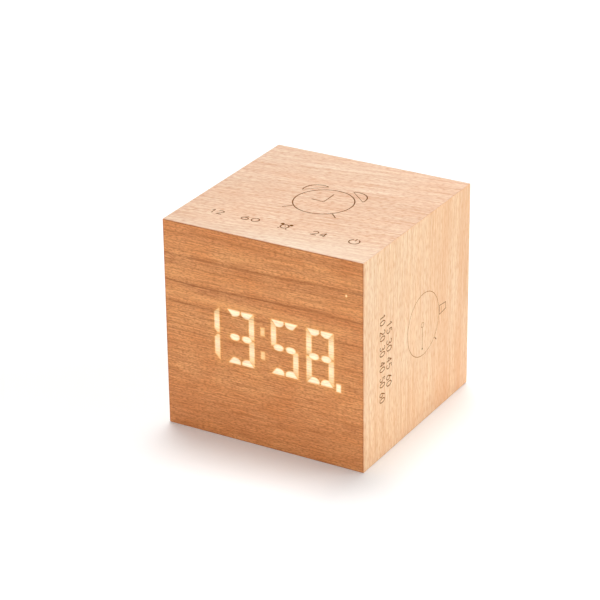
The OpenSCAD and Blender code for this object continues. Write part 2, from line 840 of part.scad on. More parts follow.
// The least gap of the wire to itself, from every pair of points at least half a turn apart
spring_last = len(spring_line) - 1;
spring_gap = min([for (i = [0 : spring_last - spring_rings / 2], j = [i + spring_rings / 2 : spring_last])
    norm(spring_line[i] - spring_line[j])]) - spring_wire;
echo(touch_spring_least_gap = spring_gap);

module touch_springs() {
    tail = [spring_mid, 0, 0];
    color("gold") for (x = touch_x) translate([x, touch_y, touch_top]) {
        swept_tube([for (i = [0 : len(spring_line) - 1]) spring_ring(i)]);
        translate(tail) cylinder(h = spring_foot, r = spring_wire / 2);
    }
}

module touch_chip() {
    color("black") facing_down(touch_chip_x, touch_front + touch_board_d / 2, touch_bottom)
        legged_chip(touch_chip_legs, slim_chip_w, slim_chip_h);
}

module touch_spacers() {
    color("silver") at_touch_screws() translate([0, 0, touch_top]) spacer(touch_gap);
}

module touch_screws() {
    color("gray") at_touch_screws() facing_down(0, 0, touch_bottom)
        board_screw(pcb_t + touch_gap + board_bite);
}

// Power

module at_power_screws() {
    for (sx = [-1, 1], y = power_screw_y) translate([sx * power_screw_x, y, 0]) children();
}

module power_board() {
    color("darkgreen") difference() {
        translate([-power_board_w / 2, power_front, power_bottom])
            cube([power_board_w, power_board_d, pcb_t]);
        at_power_screws() translate([0, 0, power_bottom - over])
            cylinder(h = pcb_t + 2 * over, r = board_screw_r + 2 * fit);
    }
}

module power_spacers() {
    color("silver") at_power_screws() translate([0, 0, board_t]) spacer(power_gap);
}

module power_screws() {
    color("gray") at_power_screws() translate([0, 0, power_top])
        board_screw(pcb_t + power_gap + board_bite);
}

// The outline of the charging socket, with its lower corners cut away
module socket_outline(inset) {
    w = socket_w / 2 - inset;
    h = socket_h / 2 - inset;
    cut = socket_cut - inset * (2 - sqrt(2));
    polygon([[-w, h], [w, h], [w, -h + cut], [w - cut, -h], [-w + cut, -h], [-w, -h + cut]]);
}

socket_wall = 0.3;
socket_cut = 0.8;
socket_plug_depth = 4;

module socket_shell() {
    color("silver") extrude_y(socket_mouth - socket_len, socket_len) translate([0, socket_z]) difference() {
        socket_outline(0);
        socket_outline(socket_wall);
    }
}

// The plastic block that closes the socket's inner end, with the tongue that the plug slides over
module socket_tongue() {
    tongue_w = 3.7;
    tongue_t = 0.6;
    tongue_drop = 0.9;
    tongue_inset = 0.5;
    block = socket_len - socket_plug_depth;
    color("dimgray") {
        extrude_y(socket_mouth - socket_len, block) translate([0, socket_z]) socket_outline(socket_wall);
        extrude_y(socket_mouth - socket_plug_depth - fit, socket_plug_depth - tongue_inset)
            translate([0, socket_z + socket_h / 2 - socket_wall - tongue_drop])
                centred_square(tongue_w, tongue_t);
    }
}

module charge_chip() {
    color("black") translate([charge_chip_x, sounder_y, power_top])
        legged_chip(charge_chip_legs, slim_chip_w, slim_chip_h);
}

// A can with a crimped waist on a square foot
module power_capacitor() {
    r = 2.5;
    h = 7;
    foot = 1;
    waist = 0.3;
    color("silver") translate([capacitor_x, power_header_y, power_top]) {
        translate([-r, -r, 0]) cube([2 * r, 2 * r, foot]);
        rotate_extrude() polygon([
            [0, foot / 2], [r, foot / 2], [r, 2 * foot],
            [r - waist, 2 * foot + waist], [r, 2 * foot + 2 * waist],
            [r, h - waist], [r - waist, h], [0, h]]);
    }
}

sounder_floor = 1.2;
sounder_wall = 1;
sounder_hole_r = 1;
sounder_rim = sounder_h - sounder_floor;

module sounder_can() {
    inner_r = sounder_r - sounder_wall;
    color("black") translate([sounder_x, sounder_y, power_top]) rotate_extrude() polygon([
        [0, 0], [sounder_r, 0], [sounder_r, sounder_rim], [inner_r, sounder_rim],
        [inner_r, sounder_floor], [0, sounder_floor]]);
}

// The sounder's lid, with the hole that the tone leaves by
module sounder_cap() {
    bevel = 0.5;
    color("black") translate([sounder_x, sounder_y, power_top + sounder_rim]) rotate_extrude() polygon([
        [sounder_hole_r, 0], [sounder_r, 0], [sounder_r, sounder_floor - bevel],
        [sounder_r - bevel, sounder_floor], [sounder_hole_r, sounder_floor]]);
}

module battery_tape() {
    edge = 2;
    color("white") extrude_x(tape_x, tape_t) translate([cell_front + cell_len / 2, cell_foot + cell_h / 2])
        centred_square(cell_len - 2 * edge, cell_h - 2 * edge);
}

// A flat pouch with a slimmer folded seam along its foot, where the leads come out
module battery_cell() {
    corner = 2;
    color("lightsteelblue") {
        extrude_x(cell_x, cell_t)
            translate([cell_front + cell_len / 2, cell_foot + cell_seam / 2 + cell_h / 2])
                rounded_rect(cell_len, cell_h - cell_seam, corner);
        extrude_x(cell_x, cell_seam_t)
            translate([cell_front + cell_len / 2, cell_foot + cell_seam])
                centred_square(cell_len - 2 * corner, 2 * cell_seam);
    }
}

// A smooth lead between two points that leaves one and enters the other along the given pulls
function lead_point(a, pull_a, pull_b, b, t) =
    a * pow(1 - t, 3) + (a + pull_a) * 3 * t * pow(1 - t, 2)
    + (b + pull_b) * 3 * t * t * (1 - t) + b * pow(t, 3);
function lead_run(a, pull_a, pull_b, b, t) =
    pull_a * pow(1 - t, 2) * 3 + (b + pull_b - a - pull_a) * 6 * t * (1 - t) - pull_b * 3 * t * t;
function unit(v) = v / norm(v);

module battery_lead(s) {
    a = [cell_x + cell_seam_t / 2, lead_y + s * lead_side, cell_foot];
    b = [cell_header_x, power_header_y + s * cell_wire_y, power_top + plug_top];
    pull_a = [0, 0, -lead_pull];
    pull_b = [0, 0, lead_pull];
    across = [0, 1, 0];
    swept_tube([for (i = [0 : lead_rings]) let (
            t = i / lead_rings,
            run = unit(lead_run(a, pull_a, pull_b, b, t)),
            u = unit(cross(across, run)),
            v = cross(run, u))
        [for (j = [0 : lead_sides - 1]) let (w = 360 * j / lead_sides)
            lead_point(a, pull_a, pull_b, b, t) + (u * cos(w) + v * sin(w)) * lead_d / 2]]);
}

module battery_lead_red() { color("red") battery_lead(1); }

module battery_lead_black() { color("black") battery_lead(-1); }

module cable_headers() {
    color("ivory") {
        at_touch_header() header(header_l);
        at_upper_header() header(header_l);
        at_lower_header() header(header_l);
        at_power_header() header(header_l);
        at_cell_header() header(cell_header_l);
    }
}

module cable_plugs() {
    color("ivory") {
        at_touch_header() header_plug(header_l);
        at_upper_header() header_plug(header_l);
        at_lower_header() header_plug(header_l);
        at_power_header() header_plug(header_l);
        at_cell_header() header_plug(cell_header_l);
    }
}

// A flat cable seen from its edge: down a length, round a quarter bend, then along a length
module ribbon_profile(down, along) {
    b = ribbon_bend;
    translate([-ribbon_t / 2, b]) square([ribbon_t, down - b]);
    translate([-along, -ribbon_t / 2]) square([along - b, ribbon_t]);
    translate([-b, b]) intersection() {
        difference() {
            circle(b + ribbon_t / 2);
            circle(b - ribbon_t / 2);
        }
        translate([0, -2 * b]) square(2 * b);
    }
}

module touch_ribbon() {
    down = touch_bottom - plug_top - upper_header_z;
    along = touch_header_y - display_back - plug_top;
    color("lightgray") extrude_x(-ribbon_w / 2, ribbon_w)
        translate([touch_header_y, upper_header_z]) ribbon_profile(down, along);
}

module power_ribbon() {
    down = lower_header_z - power_top - plug_top;
    along = power_header_y - display_back - plug_top;
    color("lightgray") extrude_x(-ribbon_w / 2, ribbon_w)
        translate([power_header_y, lower_header_z]) mirror([0, 1]) ribbon_profile(down, along);
}

front_veneer();
front_board();
top_board();
right_board();
bottom_board();
left_board();
back_cover();
glue_blocks();
cover_screws();
diffuser_film();
digit_reflector();
indicator_pipe();
display_lamps();
display_board();
display_spacers();
display_screws();
controller_chip();
driver_chip();
clock_crystal();
tilt_cans();
tilt_plugs();
tilt_contacts();
tilt_ball_left();
tilt_ball_right();
touch_board();
touch_springs();
touch_chip();
touch_spacers();
touch_screws();
power_board();
power_spacers();
power_screws();
socket_shell();
socket_tongue();
charge_chip();
power_capacitor();
sounder_can();
sounder_cap();
battery_cell();
battery_tape();
battery_lead_red();
battery_lead_black();
cable_headers();
cable_plugs();
touch_ribbon();
power_ribbon();
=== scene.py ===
import json
import math

import bmesh
import bpy
import numpy as np
from mathutils import Matrix, Vector


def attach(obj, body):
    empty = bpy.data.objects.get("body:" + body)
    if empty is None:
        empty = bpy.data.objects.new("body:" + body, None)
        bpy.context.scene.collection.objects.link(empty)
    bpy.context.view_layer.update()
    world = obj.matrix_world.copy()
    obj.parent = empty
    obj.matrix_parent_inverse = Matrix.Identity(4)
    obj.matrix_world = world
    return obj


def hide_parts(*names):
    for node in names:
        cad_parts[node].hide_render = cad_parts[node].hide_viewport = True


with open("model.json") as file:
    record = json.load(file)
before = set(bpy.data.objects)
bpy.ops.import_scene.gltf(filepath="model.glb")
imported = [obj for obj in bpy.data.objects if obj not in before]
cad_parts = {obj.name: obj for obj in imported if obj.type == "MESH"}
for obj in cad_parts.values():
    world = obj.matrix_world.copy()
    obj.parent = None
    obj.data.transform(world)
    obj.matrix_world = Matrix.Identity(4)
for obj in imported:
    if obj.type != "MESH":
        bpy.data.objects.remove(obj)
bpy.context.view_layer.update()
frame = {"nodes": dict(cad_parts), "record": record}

# Sizes in millimetres, as in the part's source
MM = 0.001
CUBE = 80.0
HALF = CUBE / 2
EASE = 0.4
BOARD_T = 5.0
VENEER_T = 0.6
IN_TOP = CUBE - BOARD_T
COVER_IN = 35.5
COVER_T = 4.0
COVER_OUT = COVER_IN + COVER_T
COVER_HALF = 34.7
COVER_SCREW = 30.5
COVER_SCREW_R = 1.4
COVER_HEAD_R = 2.8
COVER_HEAD_H = COVER_HEAD_R - COVER_SCREW_R
COVER_BITE = 9.0
INLET_W = 12.5
INLET_H = 7.5
INLET_Z = 12.0
SLOT_COUNT = 5
SLOT_PITCH = 4.0
SLOT_W = 1.6
SLOT_LEN = 12.0
SLOT_Z = 30.0
TOUCH_X = [-26.5, -12.75, 1.0, 14.75, 28.5]
TOUCH_Y = -25.6
POCKET_R = 4.5
POCKET_TOP = 78.4
TOUCH_SCREW_X = [-29.0, 31.0]
TOUCH_SCREW_Y = -19.0
POWER_SCREW_X = 22.0
POWER_SCREW_Y = [9.7, 31.7]
SCREW_BORE_R = 1.05
SCREW_BITE = 2.6

# Sizes of the finish alone, in millimetres
EASE_STEPS = 3
RIM = 0.7
SAW_SLACK = 0.001
NEAR = 0.01
CASE_CREASE = 30
SCREW_CREASE = 35
CUT_PAST = 1.0
SCREW_ROOM = 0.1
SINK_ROOM = 0.1
SINK_PAST = 0.4
HEAD_RIM = 0.18
SCREW_TIP = 2.0
SCREW_TIP_SHARE = 0.3
RECESS_HALF = 1.6
RECESS_HALF_T = 0.32
RECESS_D = 1.0
RECESS_FOOT = (0.45, 0.8, 1.0)
SCREW_TURNS = (12, 57, 33, 80)

# Display, as its light shows on the veneer
DISPLAY_Z = 40.75
DIGIT_H = 20.9
DIGIT_W = 11.0
DIGIT_X = [-22.95, -8.85, 8.85, 22.95]
STROKE = 2.5
UPRIGHT = 2.2
LOBE_SLANT = 0.8
BAR_WALL = 0.5
CORNER_GAP = 0.3
POINT_IN = 0.85
COLON_W = 1.8
COLON_H = 3.2
COLON_RISE = 4.6
DOT_X = 30.2
DOT_Z = -9.9
DOT_W = 1.9
DOT_H = 3.2
INDICATOR_X = 33.3
INDICATOR_Z = 66.6
INDICATOR_R = 0.42
INDICATOR_WIDE = 0.85
INDICATOR_TALL = 1.2
LIT_BARS = ["bc", "abcdg", "acdfg", "abcdefg"]

CENTRE = Vector((0, 0, HALF))
FRONT = Vector((0, -1, 0))
RIGHT = Vector((1, 0, 0))
LEFT = Vector((-1, 0, 0))
UP = Vector((0, 0, 1))
DOWN = Vector((0, 0, -1))


# Handling of pieces

def activate(piece):
    bpy.ops.object.select_all(action="DESELECT")
    piece.select_set(True)
    bpy.context.view_layer.objects.active = piece


def open_mesh(piece):
    activate(piece)
    bpy.ops.object.mode_set(mode="EDIT")
    bpy.ops.mesh.select_mode(type="FACE")


def close_mesh():
    bpy.ops.object.mode_set(mode="OBJECT")


def pick(piece, kind, test):
    """Selects the faces, edges or corners of an open mesh that pass a test."""
    bpy.ops.mesh.select_mode(type=kind)
    bpy.ops.mesh.select_all(action="DESELECT")
    mesh = bmesh.from_edit_mesh(piece.data)
    members = {"VERT": mesh.verts, "EDGE": mesh.edges, "FACE": mesh.faces}[kind]
    for member in members:
        if test(member):
            member.select_set(True)
    mesh.select_flush_mode()
    bmesh.update_edit_mesh(piece.data)


def named(piece, name):
    piece.name = name
    piece.data.name = name
    return piece


def settle(piece, place=None):
    """Puts a piece's place into its mesh."""
    activate(piece)
    if place is not None:
        piece.matrix_world = place @ piece.matrix_world
        bpy.context.view_layer.update()
    bpy.ops.object.transform_apply(location=True, rotation=True, scale=True)
    return piece


def block(name, low, high):
    bpy.ops.object.select_all(action="DESELECT")
    low = Vector(low) * MM
    high = Vector(high) * MM
    bpy.ops.mesh.primitive_cube_add(size=1, location=(low + high) / 2, scale=high - low)
    return settle(named(bpy.context.active_object, name))


def rod(name, radius, foot, top, place, sides=32, top_radius=None):
    """A round bar along its own z, or a cone when the top has another radius."""
    bpy.ops.object.select_all(action="DESELECT")
    bpy.ops.mesh.primitive_cone_add(
        vertices=sides,
        radius1=radius * MM,
        radius2=(radius if top_radius is None else top_radius) * MM,
        depth=(top - foot) * MM,
        location=(0, 0, (foot + top) / 2 * MM),
    )
    return settle(named(bpy.context.active_object, name), place)


def saw(piece, point, off_side):
    """Cuts a piece along a plane; the part on the off side falls away."""
    open_mesh(piece)
    bpy.ops.mesh.select_all(action="SELECT")
    bpy.ops.mesh.bisect(
        plane_co=point * MM,
        plane_no=off_side,
        use_fill=True,
        clear_outer=True,
        threshold=SAW_SLACK * MM,
    )
    close_mesh()


def ease(offset, steps=EASE_STEPS):
    """Rounds the picked edges of an open mesh."""
    bpy.ops.mesh.bevel(
        offset=offset * MM, offset_type="OFFSET", segments=steps, profile=0.5, affect="EDGES"
    )


def joined(name, pieces):
    activate(pieces[0])
    for piece in pieces:
        piece.select_set(True)
    bpy.ops.object.join()
    return named(pieces[0], name)


def carve(piece, cutter):
    """Cuts one piece out of another and clears away what the cut leaves too small to be a face."""
    change = piece.modifiers.new("carve", "BOOLEAN")
    change.operation = "DIFFERENCE"
    change.solver = "EXACT"
    change.use_self = True
    change.material_mode = "TRANSFER"
    change.object = cutter
    activate(piece)
    bpy.ops.object.modifier_apply(modifier=change.name)
    bpy.data.objects.remove(cutter)
    open_mesh(piece)
    bpy.ops.mesh.select_all(action="SELECT")
    bpy.ops.mesh.remove_doubles(threshold=SAW_SLACK * MM)
    bpy.ops.mesh.dissolve_degenerate(threshold=SAW_SLACK * MM)
    close_mesh()


def smooth(piece, degrees):
    activate(piece)
    bpy.ops.object.shade_smooth_by_angle(angle=math.radians(degrees))


def finished(piece, part):
    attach(piece, "case")
    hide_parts(part)


# Materials

def node(tree, kind, values=None, **settings):
    made = tree.nodes.new(kind)
    for key, value in settings.items():
        setattr(made, key, value)
    for key, value in (values or {}).items():
        if isinstance(value, bpy.types.NodeSocket):
            tree.links.new(value, made.inputs[key])
        else:
            made.inputs[key].default_value = value
    return made


def calc(tree, operation, a, b=0.0, clamp=False):
    return node(tree, "ShaderNodeMath", {0: a, 1: b}, operation=operation, use_clamp=clamp).outputs[0]


def mixed(tree, factor, a, b, kind="MIX"):
    values = {0: factor, 6: a, 7: b}
    return node(tree, "ShaderNodeMix", values, data_type="RGBA", blend_type=kind).outputs[2]


def ranged(tree, value, low, high, to_low=0.0, to_high=1.0):
    made = node(tree, "ShaderNodeMapRange", {0: value, 1: low, 2: high, 3: to_low, 4: to_high})
    made.clamp = True
    return made.outputs[0]


def noise(tree, vector, scale, detail=2.0, roughness=0.5):
    values = {"Vector": vector, "Scale": scale, "Detail": detail, "Roughness": roughness}
    return node(tree, "ShaderNodeTexNoise", values).outputs["Fac"]


def ramp(tree, factor, stops):
    made = node(tree, "ShaderNodeValToRGB", {0: factor})
    band = made.color_ramp
    band.interpolation = "LINEAR"
    while len(band.elements) < len(stops):
        band.elements.new(0.5)
    for element, (place, colour) in zip(band.elements, stops):
        element.position = place
        rgb = colour if isinstance(colour, tuple) else (colour, colour, colour)
        element.color = (*rgb, 1.0)
    return made.outputs["Color"]


def material_with_surface(name):
    made = bpy.data.materials.new(name)
    made.use_nodes = True
    tree = made.node_tree
    tree.nodes.clear()
    surface = tree.nodes.new("ShaderNodeBsdfPrincipled")
    output = tree.nodes.new("ShaderNodeOutputMaterial")
    tree.links.new(surface.outputs[0], output.inputs[0])
    return made, tree, surface


GRAIN_PARTS = ("Fibre", "Line", "Pore", "Fleck", "Cloud", "Blush")
GRAIN_TINTS = {"Cloud": "warm", "Blush": "blush", "Line": "deep", "Fibre": "deep", "Fleck": "deep"}
FIBRE_CONTRAST = 1.6
RING_COUNT = 22.0
RING_SHARPNESS = 3.0
FLECK_CONTRAST = 2.0
SATIN = (0.46, 0.58)
SHEEN = 0.25
PORE_DEPTH = 0.00006
RELIEF = 0.25
FIBRE_RELIEF = 0.1


def grain_group():
    """Marks of a sliced veneer, for places given along, across and into the wood."""
    tree = bpy.data.node_groups.new("veneer_grain", "ShaderNodeTree")
    for name in ("Along", "Across", "Depth"):
        tree.interface.new_socket(name, in_out="INPUT", socket_type="NodeSocketFloat")
    for name in GRAIN_PARTS:
        tree.interface.new_socket(name, in_out="OUTPUT", socket_type="NodeSocketFloat")
    given = tree.nodes.new("NodeGroupInput")
    given_out = tree.nodes.new("NodeGroupOutput")

    def streaky(along, across, detail, roughness=0.5):
        x = calc(tree, "MULTIPLY", given.outputs["Along"], along)
        y = calc(tree, "MULTIPLY", given.outputs["Across"], across)
        z = calc(tree, "MULTIPLY", given.outputs["Depth"], across)
        place = node(tree, "ShaderNodeCombineXYZ", {0: x, 1: y, 2: z}).outputs[0]
        return noise(tree, place, 1.0, detail, roughness)

    fibre = ranged(tree, streaky(along=70, across=2100, detail=2.0, roughness=0.6), 0.36, 0.64)
    fibre = calc(tree, "POWER", fibre, FIBRE_CONTRAST)
    rings = calc(tree, "MULTIPLY", streaky(along=9, across=110, detail=2.0), RING_COUNT)
    rings = calc(tree, "MULTIPLY", calc(tree, "FRACT", rings), 2.0)
    rings = calc(tree, "ABSOLUTE", calc(tree, "SUBTRACT", rings, 1.0))
    line = calc(tree, "POWER", rings, RING_SHARPNESS)
    pore = ranged(tree, streaky(along=230, across=2300, detail=1.0), 0.57, 0.68)
    patch = ranged(tree, streaky(along=60, across=160, detail=2.0), 0.35, 0.62, 0.25, 1.0)
    pore = calc(tree, "MULTIPLY", pore, patch)
    fleck = ranged(tree, streaky(along=800, across=2000, detail=1.0), 0.36, 0.66)
    fleck = calc(tree, "POWER", fleck, FLECK_CONTRAST)
    cloud = ranged(tree, streaky(along=75, across=150, detail=3.0, roughness=0.6), 0.38, 0.66)
    blush = ranged(tree, streaky(along=22, across=48, detail=2.0), 0.36, 0.66)
    for name, socket in zip(GRAIN_PARTS, (fibre, line, pore, fleck, cloud, blush)):
        tree.links.new(socket, given_out.inputs[name])
    return tree


GRAIN = grain_group()


def veneer(name, along, across, look):
    """A satin veneer whose grain runs along one axis, with a tone profile across the sheet."""
    made, tree, surface = material_with_surface(name)
    place = node(tree, "ShaderNodeTexCoord").outputs["Object"]
    axes = node(tree, "ShaderNodeSeparateXYZ", {0: place}).outputs
    depth = ({"X", "Y", "Z"} - {along, across}).pop()
    run = axes[along]
    rise = calc(tree, "SUBTRACT", axes[across], calc(tree, "MULTIPLY", run, look["slant"]))
    grain = node(tree, "ShaderNodeGroup", {}, node_tree=GRAIN)
    tree.links.new(calc(tree, "MULTIPLY", run, look["run"]), grain.inputs["Along"])
    tree.links.new(calc(tree, "MULTIPLY", rise, look["rise"]), grain.inputs["Across"])
    tree.links.new(axes[depth], grain.inputs["Depth"])

    # Darker and paler growth bands, which waver a little and fade here and there
    waver_x = calc(tree, "MULTIPLY", run, look["waver_along"])
    waver_y = calc(tree, "MULTIPLY", rise, look["waver_across"])
    waver_at = node(tree, "ShaderNodeCombineXYZ", {0: waver_x, 1: waver_y, 2: look["seed"]}).outputs[0]
    waver = noise(tree, waver_at, scale=1.0, detail=3.0, roughness=0.4)
    waver = calc(tree, "SUBTRACT", waver, 0.5)
    moved = calc(tree, "ADD", rise, calc(tree, "MULTIPLY", waver, look["waver"] * MM))
    share = calc(tree, "DIVIDE", calc(tree, "SUBTRACT", moved, look["from"] * MM), CUBE * MM)
    fade_scale = {0: waver_at, 1: (1.7, 0.9, 4.0)}
    fade_at = node(tree, "ShaderNodeVectorMath", fade_scale, operation="MULTIPLY").outputs[0]
    fade = noise(tree, fade_at, scale=1.0, detail=2.0, roughness=0.5)
    fade = ranged(tree, fade, low=0.3, high=0.6, to_low=0.55, to_high=1.15)
    band = ramp(tree, share, look["bands"])
    streak = calc(tree, "MULTIPLY", ranged(tree, band, 0.5, 1.0), fade)

    colour = look["pale"]
    for part, tint in GRAIN_TINTS.items():
        amount = calc(tree, "MULTIPLY", grain.outputs[part], look[part])
        colour = mixed(tree, amount, colour, look[tint])
    light = calc(tree, "MULTIPLY", ranged(tree, band, 0.5, 0.0), fade)
    colour = mixed(tree, light, colour, look["light"])
    colour = mixed(tree, streak, colour, look["streak"])
    pore = calc(tree, "MULTIPLY", grain.outputs["Pore"], look["Pore"])
    colour = mixed(tree, pore, colour, look["streak"])

    # Some sheets are redder towards one end of their run
    if "red_end" in look:
        redder = ranged(tree, run, look["red_end"][0] * MM, look["red_end"][1] * MM)
        colour = mixed(tree, redder, colour, look["red"], "MULTIPLY")

    # Slightly darker along the cube's edges: partly the dark glue line of the mitres, partly painted
    # shade along the sheets' edges
    sides = []
    for axis in (along, across):
        from_middle = calc(tree, "SUBTRACT", axes[axis], CENTRE["XYZ".index(axis)] * MM)
        sides.append(calc(tree, "ABSOLUTE", from_middle))
    reach = calc(tree, "MAXIMUM", *sides)
    rim = ranged(tree, reach, (HALF - RIM) * MM, (HALF - RIM / 3) * MM, 0.0, look["rim"])
    colour = mixed(tree, rim, colour, look["streak"])

    tree.links.new(colour, surface.inputs["Base Color"])
    fibre = grain.outputs["Fibre"]
    tree.links.new(ranged(tree, fibre, 0.0, 1.0, *SATIN), surface.inputs["Roughness"])
    surface.inputs["Specular IOR Level"].default_value = SHEEN
    raised = calc(tree, "MULTIPLY", fibre, FIBRE_RELIEF)
    height = calc(tree, "SUBTRACT", raised, grain.outputs["Pore"])
    relief = {"Strength": RELIEF, "Distance": PORE_DEPTH, "Height": height}
    tree.links.new(node(tree, "ShaderNodeBump", relief).outputs[0], surface.inputs["Normal"])
    return made, tree, surface, fibre


def tones(*pairs):
    """Stops of a tone profile: distances in millimetres, and tones from -1, palest, to 1, darkest."""
    return [(distance / CUBE, 0.5 + tone / 2) for distance, tone in pairs]


FRONT_LOOK = {
    "from": 0.0,
    "seed": 3.1,
    "slant": 0.0,
    "run": 1.0,
    "rise": 1.0,
    "waver": 3.6,
    "waver_along": 18.0,
    "waver_across": 50.0,
    "light": (1.0, 0.500, 0.200, 1),
    "pale": (0.935, 0.450, 0.172, 1),
    "warm": (0.84, 0.330, 0.097, 1),
    "blush": (0.74, 0.230, 0.062, 1),
    "deep": (0.46, 0.145, 0.043, 1),
    "streak": (0.29, 0.064, 0.015, 1),
    "Cloud": 0.65,
    "Blush": 0.36,
    "Line": 0.28,
    "Fibre": 0.62,
    "Fleck": 0.68,
    "Pore": 0.34,
    "rim": 0.42,
    "bands": tones(
        (0, 0.10), (12, 0.10), (24, 0.02), (37.4, 0.03), (38.0, 0.14), (38.4, 0.36),
        (38.8, 0.16), (39.4, 0.03), (48.0, 0.06), (48.4, 0.20), (48.8, 0.54), (49.2, 0.12),
        (52.4, -0.28), (54.4, 0.04), (56.3, 0.10), (56.9, 0.26), (57.2, 0.66), (57.5, 0.30),
        (58.1, 0.06), (60.2, -0.14), (63.4, -0.04), (64.4, 0.15), (66.9, 0.12), (67.3, 0.34),
        (67.7, 0.66), (68.0, 0.24), (68.6, 0.02), (71.2, -0.10), (75.6, 0.06), (76.4, 0.30),
        (77.1, 0.05), (80, 0.05),
    ),
}

TOP_LOOK = {
    "from": -40.0,
    "seed": 7.7,
    "slant": 0.14,
    "run": 0.60,
    "rise": 0.95,
    "waver": 3.0,
    "waver_along": 14.0,
    "waver_across": 40.0,
    "light": (1.0, 0.870, 0.700, 1),
    "pale": (0.985, 0.800, 0.605, 1),
    "warm": (0.965, 0.665, 0.450, 1),
    "blush": (0.93, 0.570, 0.385, 1),
    "deep": (0.70, 0.355, 0.200, 1),
    "streak": (0.58, 0.265, 0.140, 1),
    "Cloud": 0.55,
    "Blush": 0.32,
    "Line": 0.14,
    "Fibre": 0.74,
    "Fleck": 0.78,
    "Pore": 0.36,
    "rim": 0.30,
    "bands": tones(
        (0, -0.35), (6, -0.20), (14, -0.02), (24, 0.05), (38, 0.09), (50, 0.10), (53.0, 0.06),
        (54.4, -0.15), (55.6, -0.12), (57.4, 0.06), (62, 0.04), (66, 0.06), (69.0, 0.11),
        (70.2, -0.20), (71.6, -0.17), (72.6, 0.06), (73.4, 0.07), (74.2, -0.15), (75.0, -0.12),
        (76.2, 0.06), (80, -0.01),
    ),
}

RIGHT_LOOK = {
    "from": -40.0,
    "seed": 1.4,
    "slant": 0.02,
    "run": 0.45,
    "rise": 1.00,
    "waver": 2.4,
    "waver_along": 12.0,
    "waver_across": 40.0,
    "light": (1.0, 0.840, 0.610, 1),
    "pale": (1.0, 0.810, 0.572, 1),
    "warm": (1.0, 0.665, 0.392, 1),
    "blush": (0.98, 0.600, 0.325, 1),
    "deep": (0.76, 0.420, 0.215, 1),
    "streak": (0.80, 0.400, 0.180, 1),
    "Cloud": 0.50,
    "Blush": 0.25,
    "Line": 0.20,
    "Fibre": 0.74,
    "Fleck": 0.72,
    "Pore": 0.32,
    "rim": 0.22,
    "red_end": (28.0, 12.0),
    "red": (0.996, 0.957, 0.918, 1),
    "bands": tones(
        (0, 0.02), (8, 0.00), (12, 0.08), (22, 0.05), (31, 0.02), (32, 0.10), (33, 0.03), (40, 0.08),
        (46, 0.14), (52, 0.22), (56, 0.32), (60, 0.42), (63, 0.34), (66.4, 0.08), (68.4, 0.06),
        (70.4, 0.26), (72.4, 0.50), (74.4, 0.44), (76.4, 0.38), (80, 0.34),
    ),
}

BACK_LOOK = {
    **TOP_LOOK,
    "from": 0.0,
    "seed": 5.2,
    "slant": 0.03,
    "run": 1.0,
    "rise": 1.1,
    "Fibre": 0.50,
    "Fleck": 0.45,
}

wood_front, front_tree, front_surface, front_fibre = veneer("wood_front", "X", "Z", FRONT_LOOK)
wood_top = veneer("wood_top", "X", "Y", TOP_LOOK)[0]
wood_side = veneer("wood_side", "Z", "Y", RIGHT_LOOK)[0]
wood_back = veneer("wood_back", "X", "Z", BACK_LOOK)[0]

# The display's light leaves the front veneer with the veneer's own fibres in it
FIBRE_IN_GLOW = 0.22
glow_level = node(front_tree, "ShaderNodeAttribute", attribute_name="glow").outputs["Fac"]
glow_colour = ramp(
    front_tree,
    glow_level,
    [
        (0.0, (0.0, 0.0, 0.0)),
        (0.25, (0.22, 0.15, 0.04)),
        (0.5, (0.38, 0.33, 0.15)),
        (0.75, (0.46, 0.54, 0.36)),
        (1.0, (0.54, 0.72, 0.58)),
    ],
)
dimmed_glow = mixed(front_tree, front_fibre, glow_colour, (0, 0, 0, 1))
glow_colour = mixed(front_tree, FIBRE_IN_GLOW, glow_colour, dimmed_glow)
front_tree.links.new(glow_colour, front_surface.inputs["Emission Color"])
front_surface.inputs["Emission Strength"].default_value = 1.0


def mottle_group():
    """Light and dark patches, from 0 to 1, that keep a plain finish from looking flat."""
    tree = bpy.data.node_groups.new("mottle", "ShaderNodeTree")
    tree.interface.new_socket("Place", in_out="INPUT", socket_type="NodeSocketVector")
    for name in ("Scale", "Detail", "Crispness"):
        tree.interface.new_socket(name, in_out="INPUT", socket_type="NodeSocketFloat")
    tree.interface.new_socket("Tone", in_out="OUTPUT", socket_type="NodeSocketFloat")
    given = tree.nodes.new("NodeGroupInput")
    given_out = tree.nodes.new("NodeGroupOutput")
    patches = noise(
        tree,
        given.outputs["Place"],
        given.outputs["Scale"],
        given.outputs["Detail"],
        given.outputs["Crispness"],
    )
    tree.links.new(ranged(tree, patches, 0.3, 0.7), given_out.inputs["Tone"])
    return tree


MOTTLE = mottle_group()
GLOSS_SPREAD = 0.15


def mottled(name, dark, light, scale, detail=3.0, crispness=0.6):
    """A material whose colour wanders between two tones."""
    made, tree, surface = material_with_surface(name)
    place = node(tree, "ShaderNodeTexCoord").outputs["Object"]
    patches = node(tree, "ShaderNodeGroup", {}, node_tree=MOTTLE)
    tree.links.new(place, patches.inputs["Place"])
    patches.inputs["Scale"].default_value = scale
    patches.inputs["Detail"].default_value = detail
    patches.inputs["Crispness"].default_value = crispness
    tone = patches.outputs["Tone"]
    tree.links.new(mixed(tree, tone, (*dark, 1), (*light, 1)), surface.inputs["Base Color"])
    return made, tree, surface, tone


def burnt_wood(name, dark, light):
    """Scorched wood in the floor of an engraved line."""
    made, _, surface, _ = mottled(name, dark, light, scale=900.0)
    surface.inputs["Roughness"].default_value = 0.8
    surface.inputs["Specular IOR Level"].default_value = 0.0
    return made


